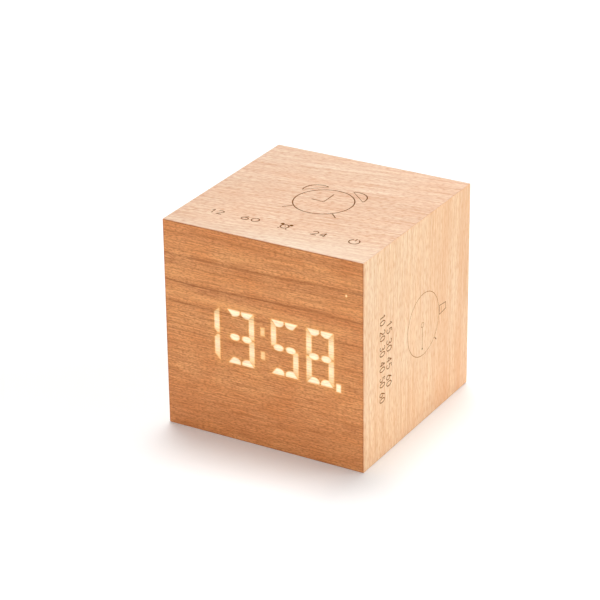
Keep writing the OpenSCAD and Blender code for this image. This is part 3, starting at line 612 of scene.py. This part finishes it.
def plain_finish(name, dark, light, rough, metal=0.0, through=0.0):
    """A plastic or metal whose tone and gloss vary a little over the surface."""
    made, tree, surface, tone = mottled(name, dark, light, scale=400.0)
    glossy = rough * (1 - GLOSS_SPREAD)
    dull = rough * (1 + GLOSS_SPREAD)
    gloss = ranged(tree, tone, 0.0, 1.0, glossy, dull)
    tree.links.new(gloss, surface.inputs["Roughness"])
    surface.inputs["Metallic"].default_value = metal
    surface.inputs["Transmission Weight"].default_value = through
    return made


def board_finish():
    """Green lacquer over copper tracks."""
    made, tree, surface = material_with_surface("circuit_board")
    place = node(tree, "ShaderNodeTexCoord").outputs["Object"]
    cells = node(tree, "ShaderNodeTexVoronoi", {"Vector": place, "Scale": 260.0}, distance="CHEBYCHEV")
    track = ranged(tree, cells.outputs["Distance"], 0.42, 0.46)
    colour = mixed(tree, track, (0.010, 0.105, 0.030, 1), (0.030, 0.190, 0.060, 1))
    tree.links.new(colour, surface.inputs["Base Color"])
    tree.links.new(ranged(tree, track, 0.0, 1.0, 0.30, 0.42), surface.inputs["Roughness"])
    return made


def core_finish():
    """Raw fibre board."""
    dark = (0.40, 0.25, 0.13)
    light = (0.58, 0.41, 0.25)
    made, _, surface, _ = mottled("wood_core", dark, light, scale=1400.0, detail=4.0, crispness=0.7)
    surface.inputs["Roughness"].default_value = 0.85
    return made


burnt_dark = burnt_wood("burnt_dark", (0.155, 0.054, 0.010), (0.305, 0.118, 0.025))
burnt_brown = burnt_wood("burnt_brown", (0.190, 0.055, 0.008), (0.340, 0.118, 0.018))
burnt_pale = burnt_wood("burnt_pale", (0.320, 0.100, 0.014), (0.480, 0.170, 0.028))
SLOT_FINISH = {
    "wood_core": core_finish(),
    "dark_steel": plain_finish("dark_steel", (0.030, 0.030, 0.033), (0.055, 0.055, 0.060), 0.38, 1.0),
    "steel": plain_finish("steel", (0.52, 0.52, 0.53), (0.66, 0.66, 0.66), 0.30, 1.0),
    "gilt_brass": plain_finish("gilt_brass", (0.72, 0.50, 0.18), (0.86, 0.66, 0.30), 0.25, 1.0),
    "aluminium": plain_finish("aluminium", (0.66, 0.67, 0.69), (0.78, 0.79, 0.81), 0.35, 1.0),
    "white_film": plain_finish("white_film", (0.82, 0.82, 0.80), (0.88, 0.88, 0.86), 0.60),
    "white_plastic": plain_finish("white_plastic", (0.85, 0.85, 0.83), (0.90, 0.90, 0.88), 0.50),
    "ivory_plastic": plain_finish("ivory_plastic", (0.76, 0.72, 0.60), (0.83, 0.79, 0.68), 0.42),
    "grey_ribbon": plain_finish("grey_ribbon", (0.40, 0.40, 0.42), (0.50, 0.50, 0.52), 0.45),
    "black_plastic": plain_finish("black_plastic", (0.022, 0.022, 0.024), (0.040, 0.040, 0.042), 0.45),
    "red_lead": plain_finish("red_lead", (0.48, 0.020, 0.014), (0.62, 0.040, 0.028), 0.40),
    "circuit_board": board_finish(),
    "lamp": plain_finish("lamp", (0.86, 0.80, 0.55), (0.94, 0.90, 0.70), 0.35),
    "clear_plastic": plain_finish(
        "clear_plastic", (0.90, 0.92, 0.92), (0.94, 0.95, 0.95), 0.08, through=0.9
    ),
}

# Case boards: each is sawn out of the whole eased cube along the mitres

def eased_cube(name):
    piece = block(name, (-HALF, -HALF, 0), (HALF, HALF, CUBE))
    open_mesh(piece)
    bpy.ops.mesh.select_all(action="SELECT")
    ease(EASE)
    close_mesh()
    return piece


def board(name, out, beside, depth, material):
    piece = eased_cube(name)
    piece.data.materials.append(material)
    for other in beside:
        saw(piece, CENTRE, (other - out).normalized())
    saw(piece, CENTRE + out * (HALF - depth), -out)
    return piece


def bores(places, radius, foot, top):
    return [
        rod("bore", radius, foot, top, Matrix.Translation(Vector((x, y, 0)) * MM))
        for x, y in places
    ]


front = board("front_sheet", FRONT, (LEFT, RIGHT, UP, DOWN), VENEER_T, wood_front)
top = board("top_panel", UP, (LEFT, RIGHT, FRONT), BOARD_T, wood_top)
right = board("right_panel", RIGHT, (UP, DOWN, FRONT), BOARD_T, wood_side)
bottom = board("bottom_panel", DOWN, (LEFT, RIGHT, FRONT), BOARD_T, wood_top)
left = board("left_panel", LEFT, (UP, DOWN, FRONT), BOARD_T, wood_side)

key_places = [(x, TOUCH_Y) for x in TOUCH_X]
touch_places = [(x, TOUCH_SCREW_Y) for x in TOUCH_SCREW_X]
power_places = [(s * POWER_SCREW_X, y) for s in (-1, 1) for y in POWER_SCREW_Y]
hollows = bores(key_places, POCKET_R, IN_TOP - CUT_PAST, POCKET_TOP)
hollows += bores(touch_places, SCREW_BORE_R, IN_TOP - CUT_PAST, IN_TOP + SCREW_BITE)
carve(top, joined("hollows", hollows))
hollows = bores(power_places, SCREW_BORE_R, BOARD_T - SCREW_BITE, BOARD_T + CUT_PAST)
carve(bottom, joined("hollows", hollows))

# Engraved marks, drawn flat in millimetres and laid onto a face

# On the top a drawing's x runs to the right and its y to the back; on the right side its x runs down
ON_TOP = Matrix.Translation((0, 0, CUBE * MM))
ON_RIGHT = Matrix.Translation((HALF * MM, 0, 0)) @ Matrix.Rotation(math.radians(90), 4, "Y")
LINE = 0.23
KEY_LINE = 0.26
SIDE_LINE = 0.20
FINE_LINE = 0.12
BURN = {LINE: burnt_dark, KEY_LINE: burnt_dark, SIDE_LINE: burnt_brown, FINE_LINE: burnt_pale}
LINE_LIFT = 0.05
LINE_ROUND = 2
PIT_DEPTH = 0.18
PIT_PAST = 0.4
PIT_SIDES = 20
KEY_FIGURE_H = 2.9
SIDE_FIGURE_H = 3.5
# Each row of figures, with its length and its place on the face
KEY_NUMBERS = (("12", 5.2, TOUCH_X[0]), ("60", 6.8, TOUCH_X[1]), ("24", 5.6, TOUCH_X[3]))
SIDE_NUMBERS = (("15 30 45 60", 24.7, -21.6), ("10 20 30 40 50 60", 33.5, -26.5))
SIDE_MIDDLE = -38.5
ALARM_AT = (2.1, -0.1)
STOPWATCH_AT = (-39.0, 4.1)
DIAGONAL = math.sqrt(0.5)


def groove(points, place, radius, closed=False):
    """A round-bottomed groove along a line of points."""
    curve = bpy.data.curves.new("groove", "CURVE")
    curve.dimensions = "3D"
    curve.bevel_depth = radius * MM
    curve.bevel_resolution = LINE_ROUND
    curve.use_fill_caps = True
    spline = curve.splines.new("POLY")
    spline.points.add(len(points) - 1)
    for point, (x, y) in zip(spline.points, points):
        point.co = (x * MM, y * MM, LINE_LIFT * MM, 1)
    spline.use_cyclic_u = closed
    made = bpy.data.objects.new("groove", curve)
    bpy.context.scene.collection.objects.link(made)
    activate(made)
    bpy.ops.object.convert(target="MESH")
    made = settle(bpy.context.active_object, place)
    made.data.materials.append(BURN[radius])
    return made


def oval(x, y, wide, tall, start, end, steps=18):
    turns = [math.radians(start + (end - start) * i / steps) for i in range(steps + 1)]
    return [(x + wide * math.cos(t), y + tall * math.sin(t)) for t in turns]


def arc(x, y, radius, start, end, steps):
    return oval(x, y, radius, radius, start, end, steps)


def ring(x, y, radius, place, line, steps=96):
    return groove(arc(x, y, radius, 0, 360, steps)[:-1], place, line, True)


def pit(x, y, radius, place):
    """A small round hollow with a flat floor."""
    at = Matrix.Translation((x * MM, y * MM, 0))
    made = settle(rod("pit", radius, -PIT_DEPTH, PIT_PAST, at, PIT_SIDES), place)
    made.data.materials.append(burnt_dark)
    return made


# Each figure as the strokes of an engraver's single line, 0.6 wide and 1 tall; a loop is closed
LOOP = True
OPEN = False
FIGURE_W = 0.6
FIGURES = {
    "0": [(LOOP, oval(0.30, 0.5, 0.30, 0.5, 0, 345, 23))],
    "1": [(OPEN, [(0.10, 0.76), (0.34, 0.98)]), (OPEN, [(0.34, 1.0), (0.34, 0.0)])],
    "2": [
        (OPEN, oval(0.29, 0.71, 0.28, 0.29, 165, -38) + [(0.04, 0.02)]),
        (OPEN, [(0.0, 0.0), (0.60, 0.0)]),
    ],
    "3": [(OPEN, oval(0.27, 0.76, 0.25, 0.24, 150, -80) + oval(0.27, 0.26, 0.31, 0.26, 80, -150))],
    "4": [
        (OPEN, [(0.44, 0.0), (0.44, 1.0)]),
        (OPEN, [(0.42, 0.96), (0.02, 0.31)]),
        (OPEN, [(0.0, 0.29), (0.60, 0.29)]),
    ],
    "5": [
        (OPEN, [(0.53, 1.0), (0.12, 1.0), (0.08, 0.57)]),
        (OPEN, oval(0.28, 0.32, 0.31, 0.32, 137, -145, 20)),
    ],
    "6": [
        (LOOP, oval(0.30, 0.31, 0.29, 0.31, 0, 345, 23)),
        (OPEN, [(0.44, 1.0), (0.22, 0.74), (0.06, 0.42)]),
    ],
}
FIGURE_STEP = 0.86
SPACE_STEP = 0.62


def number(text, x, y, height, length, place, line):
    """Plain figures of a given height and length, engraved in single strokes round a point."""
    strokes = []
    pen = 0.0
    for sign in text:
        for closed, stroke in FIGURES.get(sign, []):
            strokes.append((closed, [(pen + a, b) for a, b in stroke]))
        pen += FIGURE_STEP if sign in FIGURES else SPACE_STEP
    stretch = length / (pen - FIGURE_STEP + FIGURE_W)
    left = x - length / 2
    foot = y - height / 2
    return [
        groove([(left + a * stretch, foot + b * height) for a, b in stroke], place, line, closed)
        for closed, stroke in strokes
    ]


def bell(x, y, tilt, chord, bulge, place, line):
    """An alarm bell's outline: a chord and the arc that bulges away from the clock."""
    radius = (chord * chord / 4 + bulge * bulge) / (2 * bulge)
    half = math.degrees(math.asin(chord / 2 / radius))
    shape = arc(0, bulge - radius, radius, 90 - half, 90 + half, steps=24)
    c = math.cos(math.radians(tilt))
    s = math.sin(math.radians(tilt))
    return groove([(x + c * a - s * b, y + s * a + c * b) for a, b in shape], place, line, True)


def alarm_clock(x, y, place):
    dial = 11.0
    long_hand = 7.4
    short_hand = 5.1
    short_hand_rise = 0.3
    foot_in = DIAGONAL * (dial + 0.4)
    foot_out = DIAGONAL * (dial + 4.2)
    bell_x = 8.7
    bell_y = 9.5
    bell_tilt = 42
    bell_chord = 9.6
    bell_bulge = 3.1
    hands = [(x, y + long_hand), (x, y), (x - short_hand, y + short_hand_rise)]
    marks = [ring(x, y, dial, place, LINE)]
    marks.append(groove(hands, place, LINE))
    for s in (-1, 1):
        foot = [(x + s * foot_in, y - foot_in), (x + s * foot_out, y - foot_out)]
        marks.append(groove(foot, place, LINE))
        at_bell = (x + s * bell_x, y + bell_y, -s * bell_tilt)
        marks.append(bell(*at_bell, bell_chord, bell_bulge, place, LINE))
    return marks


def alarm_key(x, y, place):
    dial = 1.5
    long_hand = 0.9
    short_hand = 0.6
    bell_x = 1.75
    bell_y = 1.7
    bell_r = 0.7
    foot_in = (1.23, 1.52)
    foot_out = (1.71, 2.03)
    marks = [ring(x, y, dial, place, KEY_LINE, steps=40)]
    marks.append(groove([(x, y + long_hand), (x, y), (x + short_hand, y)], place, FINE_LINE))
    for s in (-1, 1):
        marks.append(pit(x + s * bell_x, y + bell_y, bell_r, place))
        foot = [(x + s * across, y - down) for across, down in (foot_in, foot_out)]
        marks.append(groove(foot, place, KEY_LINE))
    return marks


def standby_key(x, y, place):
    radius = 1.9
    open_from = 120
    open_to = 420
    bar_foot = 0.4
    bar_top = 2.4
    open_ring = groove(arc(x, y, radius, open_from, open_to, steps=40), place, LINE)
    return [open_ring, groove([(x, y + bar_foot), (x, y + bar_top)], place, LINE)]


def stopwatch(x, y, place):
    dial = 12.0
    hub = y - 0.7
    hub_r = 0.95
    hand_from = x + 1.3
    tip = x + 0.78 * dial
    tip_r = 0.4
    tip_gap = 0.6
    crown_foot = y + dial + 0.5
    crown_top = y + dial + 5.4
    crown_line = crown_foot + 1.3
    button_in = DIAGONAL * (dial + 0.6)
    button_out = DIAGONAL * (dial + 2.4)
    crown = [
        (x - 2.2, crown_foot),
        (x + 1.3, crown_foot),
        (x + 0.8, crown_top),
        (x - 1.7, crown_top),
    ]
    button = [(x + button_in, y + button_in), (x + button_out, y + button_out)]
    marks = [ring(x, y, dial, place, FINE_LINE)]
    marks.append(groove(crown, place, SIDE_LINE, True))
    marks.append(groove([(x - 1.5, crown_line), (x + 0.6, crown_line)], place, FINE_LINE))
    marks.append(groove(button, place, SIDE_LINE))
    marks.append(ring(x, hub, hub_r, place, FINE_LINE, steps=32))
    marks.append(groove([(hand_from, hub), (tip - tip_gap, hub)], place, FINE_LINE))
    marks.append(pit(tip, hub, tip_r, place))
    return marks


carve(top, joined("marks", alarm_clock(*ALARM_AT, ON_TOP)))
for text, length, x in KEY_NUMBERS:
    carve(top, joined("marks", number(text, x, TOUCH_Y, KEY_FIGURE_H, length, ON_TOP, LINE)))
carve(top, joined("marks", alarm_key(TOUCH_X[2], TOUCH_Y, ON_TOP)))
carve(top, joined("marks", standby_key(TOUCH_X[4], TOUCH_Y, ON_TOP)))
carve(right, joined("marks", stopwatch(*STOPWATCH_AT, ON_RIGHT)))
for text, length, y in SIDE_NUMBERS:
    row = number(text, SIDE_MIDDLE, y, SIDE_FIGURE_H, length, ON_RIGHT, SIDE_LINE)
    carve(right, joined("marks", row))

# Front sheet: the part over the display is divided finely, to hold the light that comes through

LIGHT_X = [-32.5, -18.9, -5.3, 8.3, 21.9, 35.5]
LIGHT_Z = [25.5, 40.5, 55.5]
SPOT_X = [30.9, 35.7]
SPOT_Z = [63.8, 68.6]
LIGHT_CUTS = 54
SPOT_CUTS = 19
EDGE_BLUR = 0.28
SPILL = 0.07
SPILL_REACH = 1.3
LOBE_ROUND = 2.6
LOBE_WIDER = 0.25
LENS_ROUND = 2.3
LENS_SHORTER = 0.2
FOOT_IN = 1.3
FOOT_UP = 0.1

# Each window's lamp: how far it reaches, how bright the window stays beyond, and its own level
BAR_LAMP = (2.4, 0.84, 1.0)
UPRIGHT_LAMP = (3.4, 0.58, 0.88)
COLON_LAMP = (1.8, 0.7, 0.62)
DOT_LAMP = (2.6, 0.8, 1.0)
INDICATOR_LAMP = (1.2, 0.6, 0.9)
UPRIGHT_LAMP_RISE = 0.42
UPRIGHT_LAMP_WIDE = 0.7
LEAST_GLOW = 0.004


def is_front_face(face):
    return face.normal.y < -0.999


def score(piece, axis, distances, test):
    """Divides the faces that pass a test along straight lines."""
    for distance in distances:
        pick(piece, "FACE", test)
        bpy.ops.mesh.bisect(plane_co=axis * distance * MM, plane_no=axis, threshold=SAW_SLACK * MM)


def inside(face, xs, zs):
    c = face.calc_center_median() / MM
    return is_front_face(face) and xs[0] < c.x < xs[-1] and zs[0] < c.z < zs[-1]


open_mesh(front)
score(front, UP, LIGHT_Z[::2] + SPOT_Z, is_front_face)
score(front, RIGHT, [LIGHT_X[0], LIGHT_X[-1]], lambda f: inside(f, [-HALF, HALF], LIGHT_Z))
score(front, RIGHT, LIGHT_X[1:-1], lambda f: inside(f, LIGHT_X, LIGHT_Z))
score(front, UP, LIGHT_Z[1:-1], lambda f: inside(f, LIGHT_X, LIGHT_Z))
score(front, RIGHT, SPOT_X, lambda f: inside(f, [-HALF, HALF], SPOT_Z))
pick(front, "FACE", lambda f: inside(f, LIGHT_X, LIGHT_Z))
bpy.ops.mesh.subdivide(number_cuts=LIGHT_CUTS)
pick(front, "FACE", lambda f: inside(f, SPOT_X, SPOT_Z))
bpy.ops.mesh.subdivide(number_cuts=SPOT_CUTS)
close_mesh()


def eased_step(distance, width):
    t = np.clip(0.5 - distance / (2 * width), 0, 1)
    return t * t * (3 - 2 * t)


def lit(distance, far, lamp):
    """Light of one window: soft edges, brightest over its lamp, with a little spill round it."""
    reach, floor, level = lamp
    hot = floor + (1 - floor) * np.exp(-(far / reach) ** 2)
    spill = SPILL * np.exp(-np.maximum(distance, 0) / SPILL_REACH)
    return level * np.maximum(eased_step(distance, EDGE_BLUR) * hot, spill)


def display_light(x, z):
    """How brightly the front veneer is lit, at places in millimetres from the display's middle."""
    level = np.zeros_like(x)
    edge = DIGIT_H / 2
    half_w = DIGIT_W / 2
    corner = half_w - CORNER_GAP / 2
    lobe_half = (corner - BAR_WALL / 2) / 2
    lobe_x = BAR_WALL / 2 + lobe_half
    lens_half = (half_w - POINT_IN - BAR_WALL / 2) / 2
    lens_x = BAR_WALL / 2 + lens_half
    x0 = half_w - UPRIGHT
    bar_top = edge - CORNER_GAP / 2
    bar_mid = half_w - UPRIGHT / 2

    def flat_lobe(u, v):
        depth = edge - v
        bulge = np.abs((u - lobe_x) / (lobe_half + LOBE_WIDER)) ** LOBE_ROUND
        bulge = bulge + (np.maximum(depth, 0) / STROKE) ** 2
        mitre = (u + LOBE_SLANT * depth - corner) / math.hypot(1, LOBE_SLANT)
        bow = (np.sqrt(bulge) - 1) * STROKE
        distance = np.maximum.reduce([bow, -depth, BAR_WALL / 2 - u, mitre])
        return lit(distance, np.hypot(u - lobe_x, depth - STROKE / 2), BAR_LAMP)

    def lens(u, v):
        bulge = np.abs((u - lens_x) / (lens_half - LENS_SHORTER)) ** LENS_ROUND
        bulge = bulge + np.abs(v / (STROKE / 2)) ** LENS_ROUND
        distance = (bulge ** (1 / LENS_ROUND) - 1) * STROKE / 2
        return lit(distance, np.hypot(u - lens_x, v), BAR_LAMP)

    def upright(u, v):
        mitre = ((v - u) - (bar_top - half_w)) / math.sqrt(2)
        foot = (x0 + FOOT_IN - u - v) / math.sqrt(2) + FOOT_UP
        distance = np.maximum.reduce([x0 - u, u - half_w, mitre, BAR_WALL / 2 - v, foot])
        far = np.hypot((u - bar_mid) * UPRIGHT_LAMP_WIDE, v - edge * UPRIGHT_LAMP_RISE)
        return lit(distance, far, UPRIGHT_LAMP)

    for middle, bars in zip(DIGIT_X, LIT_BARS):
        u = x - middle
        shapes = {
            "a": (flat_lobe, [(1, 1), (-1, 1)]),
            "d": (flat_lobe, [(1, -1), (-1, -1)]),
            "g": (lens, [(1, 1), (-1, 1)]),
            "b": (upright, [(1, 1)]),
            "c": (upright, [(1, -1)]),
            "f": (upright, [(-1, 1)]),
            "e": (upright, [(-1, -1)]),
        }
        for bar in bars:
            shape, turns = shapes[bar]
            for sx, sz in turns:
                level = np.maximum(level, shape(sx * u, sz * z))
    for s in (-1, 1):
        dz = z - s * COLON_RISE
        distance = np.maximum(np.abs(x) - COLON_W / 2, np.abs(dz) - COLON_H / 2)
        level = np.maximum(level, lit(distance, np.hypot(x, dz), COLON_LAMP))
    distance = np.maximum(np.abs(x - DOT_X) - DOT_W / 2, np.abs(z - DOT_Z) - DOT_H / 2)
    level = np.maximum(level, lit(distance, np.hypot(x - DOT_X, z - DOT_Z), DOT_LAMP))
    dx = x - INDICATOR_X
    dz = z - (INDICATOR_Z - DISPLAY_Z)
    distance = np.hypot(dx / INDICATOR_WIDE, dz / INDICATOR_TALL) - INDICATOR_R
    return np.maximum(level, lit(distance, np.hypot(dx, dz), INDICATOR_LAMP))


def light_the_front(piece):
    mesh = piece.data
    corners = np.zeros(len(mesh.vertices) * 3, np.float32)
    mesh.vertices.foreach_get("co", corners)
    corners = corners.reshape(-1, 3).astype(float) / MM
    level = display_light(corners[:, 0], corners[:, 2] - DISPLAY_Z)
    level[corners[:, 1] > NEAR - HALF] = 0
    level[level < LEAST_GLOW] = 0
    made = mesh.attributes.new("glow", "FLOAT", "POINT")
    made.data.foreach_set("value", level.astype(np.float32))


light_the_front(front)

# Back cover, with its screws

def is_outer_or_corner(edge):
    """True for the edges round the cover's outer face, and for those through its thickness."""
    depths = [corner.co.y for corner in edge.verts]
    return min(depths) > (COVER_IN + COVER_T / 4) * MM or depths[0] != depths[1]


def is_through(edge):
    return abs(edge.verts[0].co.y - edge.verts[1].co.y) > MM


cover_low = (-COVER_HALF, COVER_IN, HALF - COVER_HALF)
cover_high = (COVER_HALF, COVER_OUT, HALF + COVER_HALF)
back = block("back_panel", cover_low, cover_high)
open_mesh(back)
pick(back, "EDGE", is_outer_or_corner)
ease(EASE)
close_mesh()
back.data.materials.append(wood_back)

FACING_BACK = Matrix.Rotation(math.radians(-90), 4, "X")
INLET_STEPS = 8
SLOT_SIDES = 24
SCREW_SIDES = 40


def inlet():
    low = (-INLET_W / 2, COVER_IN - CUT_PAST, INLET_Z - INLET_H / 2)
    high = (INLET_W / 2, COVER_OUT + CUT_PAST, INLET_Z + INLET_H / 2)
    made = block("inlet", low, high)
    open_mesh(made)
    pick(made, "EDGE", is_through)
    ease(INLET_H / 4, INLET_STEPS)
    close_mesh()
    return made


def slot_cut(x):
    """A round bar whose upper and lower halves are drawn apart into a slot."""
    made = rod(
        "slot", SLOT_W / 2, COVER_IN - CUT_PAST, COVER_OUT + CUT_PAST, FACING_BACK, SLOT_SIDES
    )
    reach = (SLOT_LEN - SLOT_W) / 2 * MM
    open_mesh(made)
    for s in (-1, 1):
        pick(made, "VERT", lambda v: v.co.z * s > NEAR * MM)
        bpy.ops.transform.translate(value=(0, 0, s * reach))
    close_mesh()
    return settle(made, Matrix.Translation(Vector((x, 0, SLOT_Z)) * MM))


def at_cover_screw(sx, sz):
    middle = Vector((sx * COVER_SCREW, 0, HALF + sz * COVER_SCREW)) * MM
    return Matrix.Translation(middle) @ FACING_BACK


def cover_bore(place):
    return rod("bore", COVER_SCREW_R + SCREW_ROOM, COVER_IN - CUT_PAST, COVER_OUT + CUT_PAST, place)


def cover_sink(place):
    """The cone that a screw's head lies in, drawn on a little at both ends."""
    return rod(
        "sink",
        COVER_SCREW_R + SINK_ROOM - SINK_PAST,
        COVER_OUT - COVER_HEAD_H - SINK_PAST,
        COVER_OUT + SINK_PAST,
        place,
        SCREW_SIDES,
        COVER_HEAD_R + SINK_ROOM + SINK_PAST,
    )


SCREW_PLACES = [at_cover_screw(sx, sz) for sx, sz in ((-1, -1), (1, -1), (-1, 1), (1, 1))]
slot_places = [(i - (SLOT_COUNT - 1) / 2) * SLOT_PITCH for i in range(SLOT_COUNT)]
carve(back, inlet())
carve(back, joined("slots", [slot_cut(x) for x in slot_places]))
carve(back, joined("bores", [cover_bore(place) for place in SCREW_PLACES]))
carve(back, joined("sinks", [cover_sink(place) for place in SCREW_PLACES]))


def faces_up(face):
    return face.normal.z > 0.9


def faces_down(face):
    return face.normal.z < -0.9


def draw_down(length):
    """Extrudes the picked faces of an open mesh downwards."""
    bpy.ops.mesh.extrude_region_move(TRANSFORM_OT_translate={"value": (0, 0, -length * MM)})


def cover_screw(turn, place):
    """A countersunk screw: a turned head with a cross recess, on a shank with a tapering tip."""
    made = rod(
        "screw",
        COVER_SCREW_R,
        COVER_OUT - COVER_HEAD_H,
        COVER_OUT,
        Matrix.Identity(4),
        SCREW_SIDES,
        COVER_HEAD_R,
    )
    open_mesh(made)
    pick(made, "FACE", faces_up)
    bpy.ops.mesh.inset(thickness=HEAD_RIM * MM, depth=0)
    pick(made, "FACE", faces_down)
    draw_down(COVER_T + COVER_BITE - COVER_HEAD_H - SCREW_TIP)
    draw_down(SCREW_TIP)
    bpy.ops.transform.resize(value=(SCREW_TIP_SHARE, SCREW_TIP_SHARE, 1.0))
    close_mesh()
    for angle in (turn, turn + 90):
        low = (-RECESS_HALF, -RECESS_HALF_T, COVER_OUT - RECESS_D)
        high = (RECESS_HALF, RECESS_HALF_T, COVER_OUT + RECESS_D / 2)
        blade = block("blade", low, high)
        open_mesh(blade)
        pick(blade, "FACE", faces_down)
        bpy.ops.transform.resize(value=RECESS_FOOT)
        close_mesh()
        carve(made, settle(blade, Matrix.Rotation(math.radians(angle), 4, "Z")))
    return settle(made, place)


turned_screws = [cover_screw(turn, place) for turn, place in zip(SCREW_TURNS, SCREW_PLACES)]
screws = joined("back_screws", turned_screws)
screws.data.materials.clear()
screws.data.materials.append(SLOT_FINISH["dark_steel"])
smooth(screws, SCREW_CREASE)

# Pieces take their places on the part
finished(front, "front_veneer")
finished(top, "top_board")
finished(right, "right_board")
finished(bottom, "bottom_board")
finished(left, "left_board")
finished(back, "back_cover")
finished(screws, "cover_screws")
for piece in (top, right, bottom, left, back):
    smooth(piece, CASE_CREASE)

# The other pieces keep the part's own shapes
slot_of = {row["node"]: row["material_slot"] for row in frame["record"]["subparts"]}
for name, piece in frame["nodes"].items():
    finish = SLOT_FINISH.get(slot_of[name])
    if finish is not None:
        for i in range(len(piece.data.materials)):
            piece.data.materials[i] = finish

# Floor, light and camera
FLOOR_SIZE = 6
FLOOR_BELOW = 0.00005
FLOOR_WHITE = 0.92
FLOOR_LIFT = 0.16
ROOM_LIGHT = 0.24


def seen_directly(tree):
    """1 for what the camera sees, in a mirror or through glass too, and otherwise 0."""
    rays = node(tree, "ShaderNodeLightPath").outputs
    seen = calc(tree, "MAXIMUM", rays["Is Camera Ray"], rays["Is Glossy Ray"])
    return calc(tree, "MAXIMUM", seen, rays["Is Transmission Ray"])


bpy.ops.object.select_all(action="DESELECT")
bpy.ops.mesh.primitive_plane_add(size=FLOOR_SIZE, location=(0, 0, -FLOOR_BELOW))
floor = named(bpy.context.active_object, "floor")
floor_white, floor_tree, floor_surface = material_with_surface("floor_white")
floor_surface.inputs["Base Color"].default_value = (FLOOR_WHITE, FLOOR_WHITE, FLOOR_WHITE, 1)
floor_surface.inputs["Roughness"].default_value = 1.0
floor_surface.inputs["Specular IOR Level"].default_value = 0.0
floor_lift = calc(floor_tree, "MULTIPLY", seen_directly(floor_tree), FLOOR_LIFT)
floor_tree.links.new(floor_lift, floor_surface.inputs["Emission Strength"])
floor_surface.inputs["Emission Color"].default_value = (1, 1, 1, 1)
floor.data.materials.append(floor_white)

world = bpy.data.worlds.new("room")
bpy.context.scene.world = world
world.use_nodes = True
room_tree = world.node_tree
sky = room_tree.nodes["Background"]
sky.inputs["Color"].default_value = (1, 1, 1, 1)
sky_level = ranged(room_tree, seen_directly(room_tree), 0.0, 1.0, ROOM_LIGHT, 1.0)
room_tree.links.new(sky_level, sky.inputs["Strength"])


def lamp(name, level, turned_from, spread, shadow):
    """A wide sun; its level is how brightly it lights a white surface that faces it."""
    made = bpy.data.lights.new(name, "SUN")
    made.energy = level * math.pi
    made.angle = math.radians(spread)
    made.use_shadow = shadow
    thing = bpy.data.objects.new(name, made)
    bpy.context.scene.collection.objects.link(thing)
    thing.rotation_euler = Vector(turned_from).to_track_quat("Z", "Y").to_euler()


lamp("overhead", level=0.635, turned_from=(-0.12, 0.22, 1.0), spread=22, shadow=True)
lamp("right_fill", level=0.515, turned_from=(1.0, 0.46, 0.34), spread=50, shadow=True)
lamp("front_fill", level=0.325, turned_from=(0.10, -1.0, 0.12), spread=40, shadow=False)

AZIMUTH = math.radians(30.29)
ELEVATION = math.radians(25.08)
ROLL = math.radians(-0.68)
DISTANCE = 0.9078
TARGET = Vector((-8.14, 0, 39.35)) * MM
level_away = Vector((math.sin(AZIMUTH), -math.cos(AZIMUTH), 0))
away = level_away * math.cos(ELEVATION) + UP * math.sin(ELEVATION)
view = bpy.data.cameras.new("camera")
view.sensor_width = 36
view.lens = 150.5
view.clip_start = 0.01
view.clip_end = 20
camera = bpy.data.objects.new("camera", view)
bpy.context.scene.collection.objects.link(camera)
sideways = Vector((math.cos(AZIMUTH), math.sin(AZIMUTH), 0))
upward = away.cross(sideways)
turned = Matrix((sideways, upward, away)).transposed().to_4x4() @ Matrix.Rotation(ROLL, 4, "Z")
camera.matrix_world = Matrix.Translation(TARGET + away * DISTANCE) @ turned
bpy.context.scene.camera = camera
bpy.context.scene.view_settings.view_transform = "Standard"
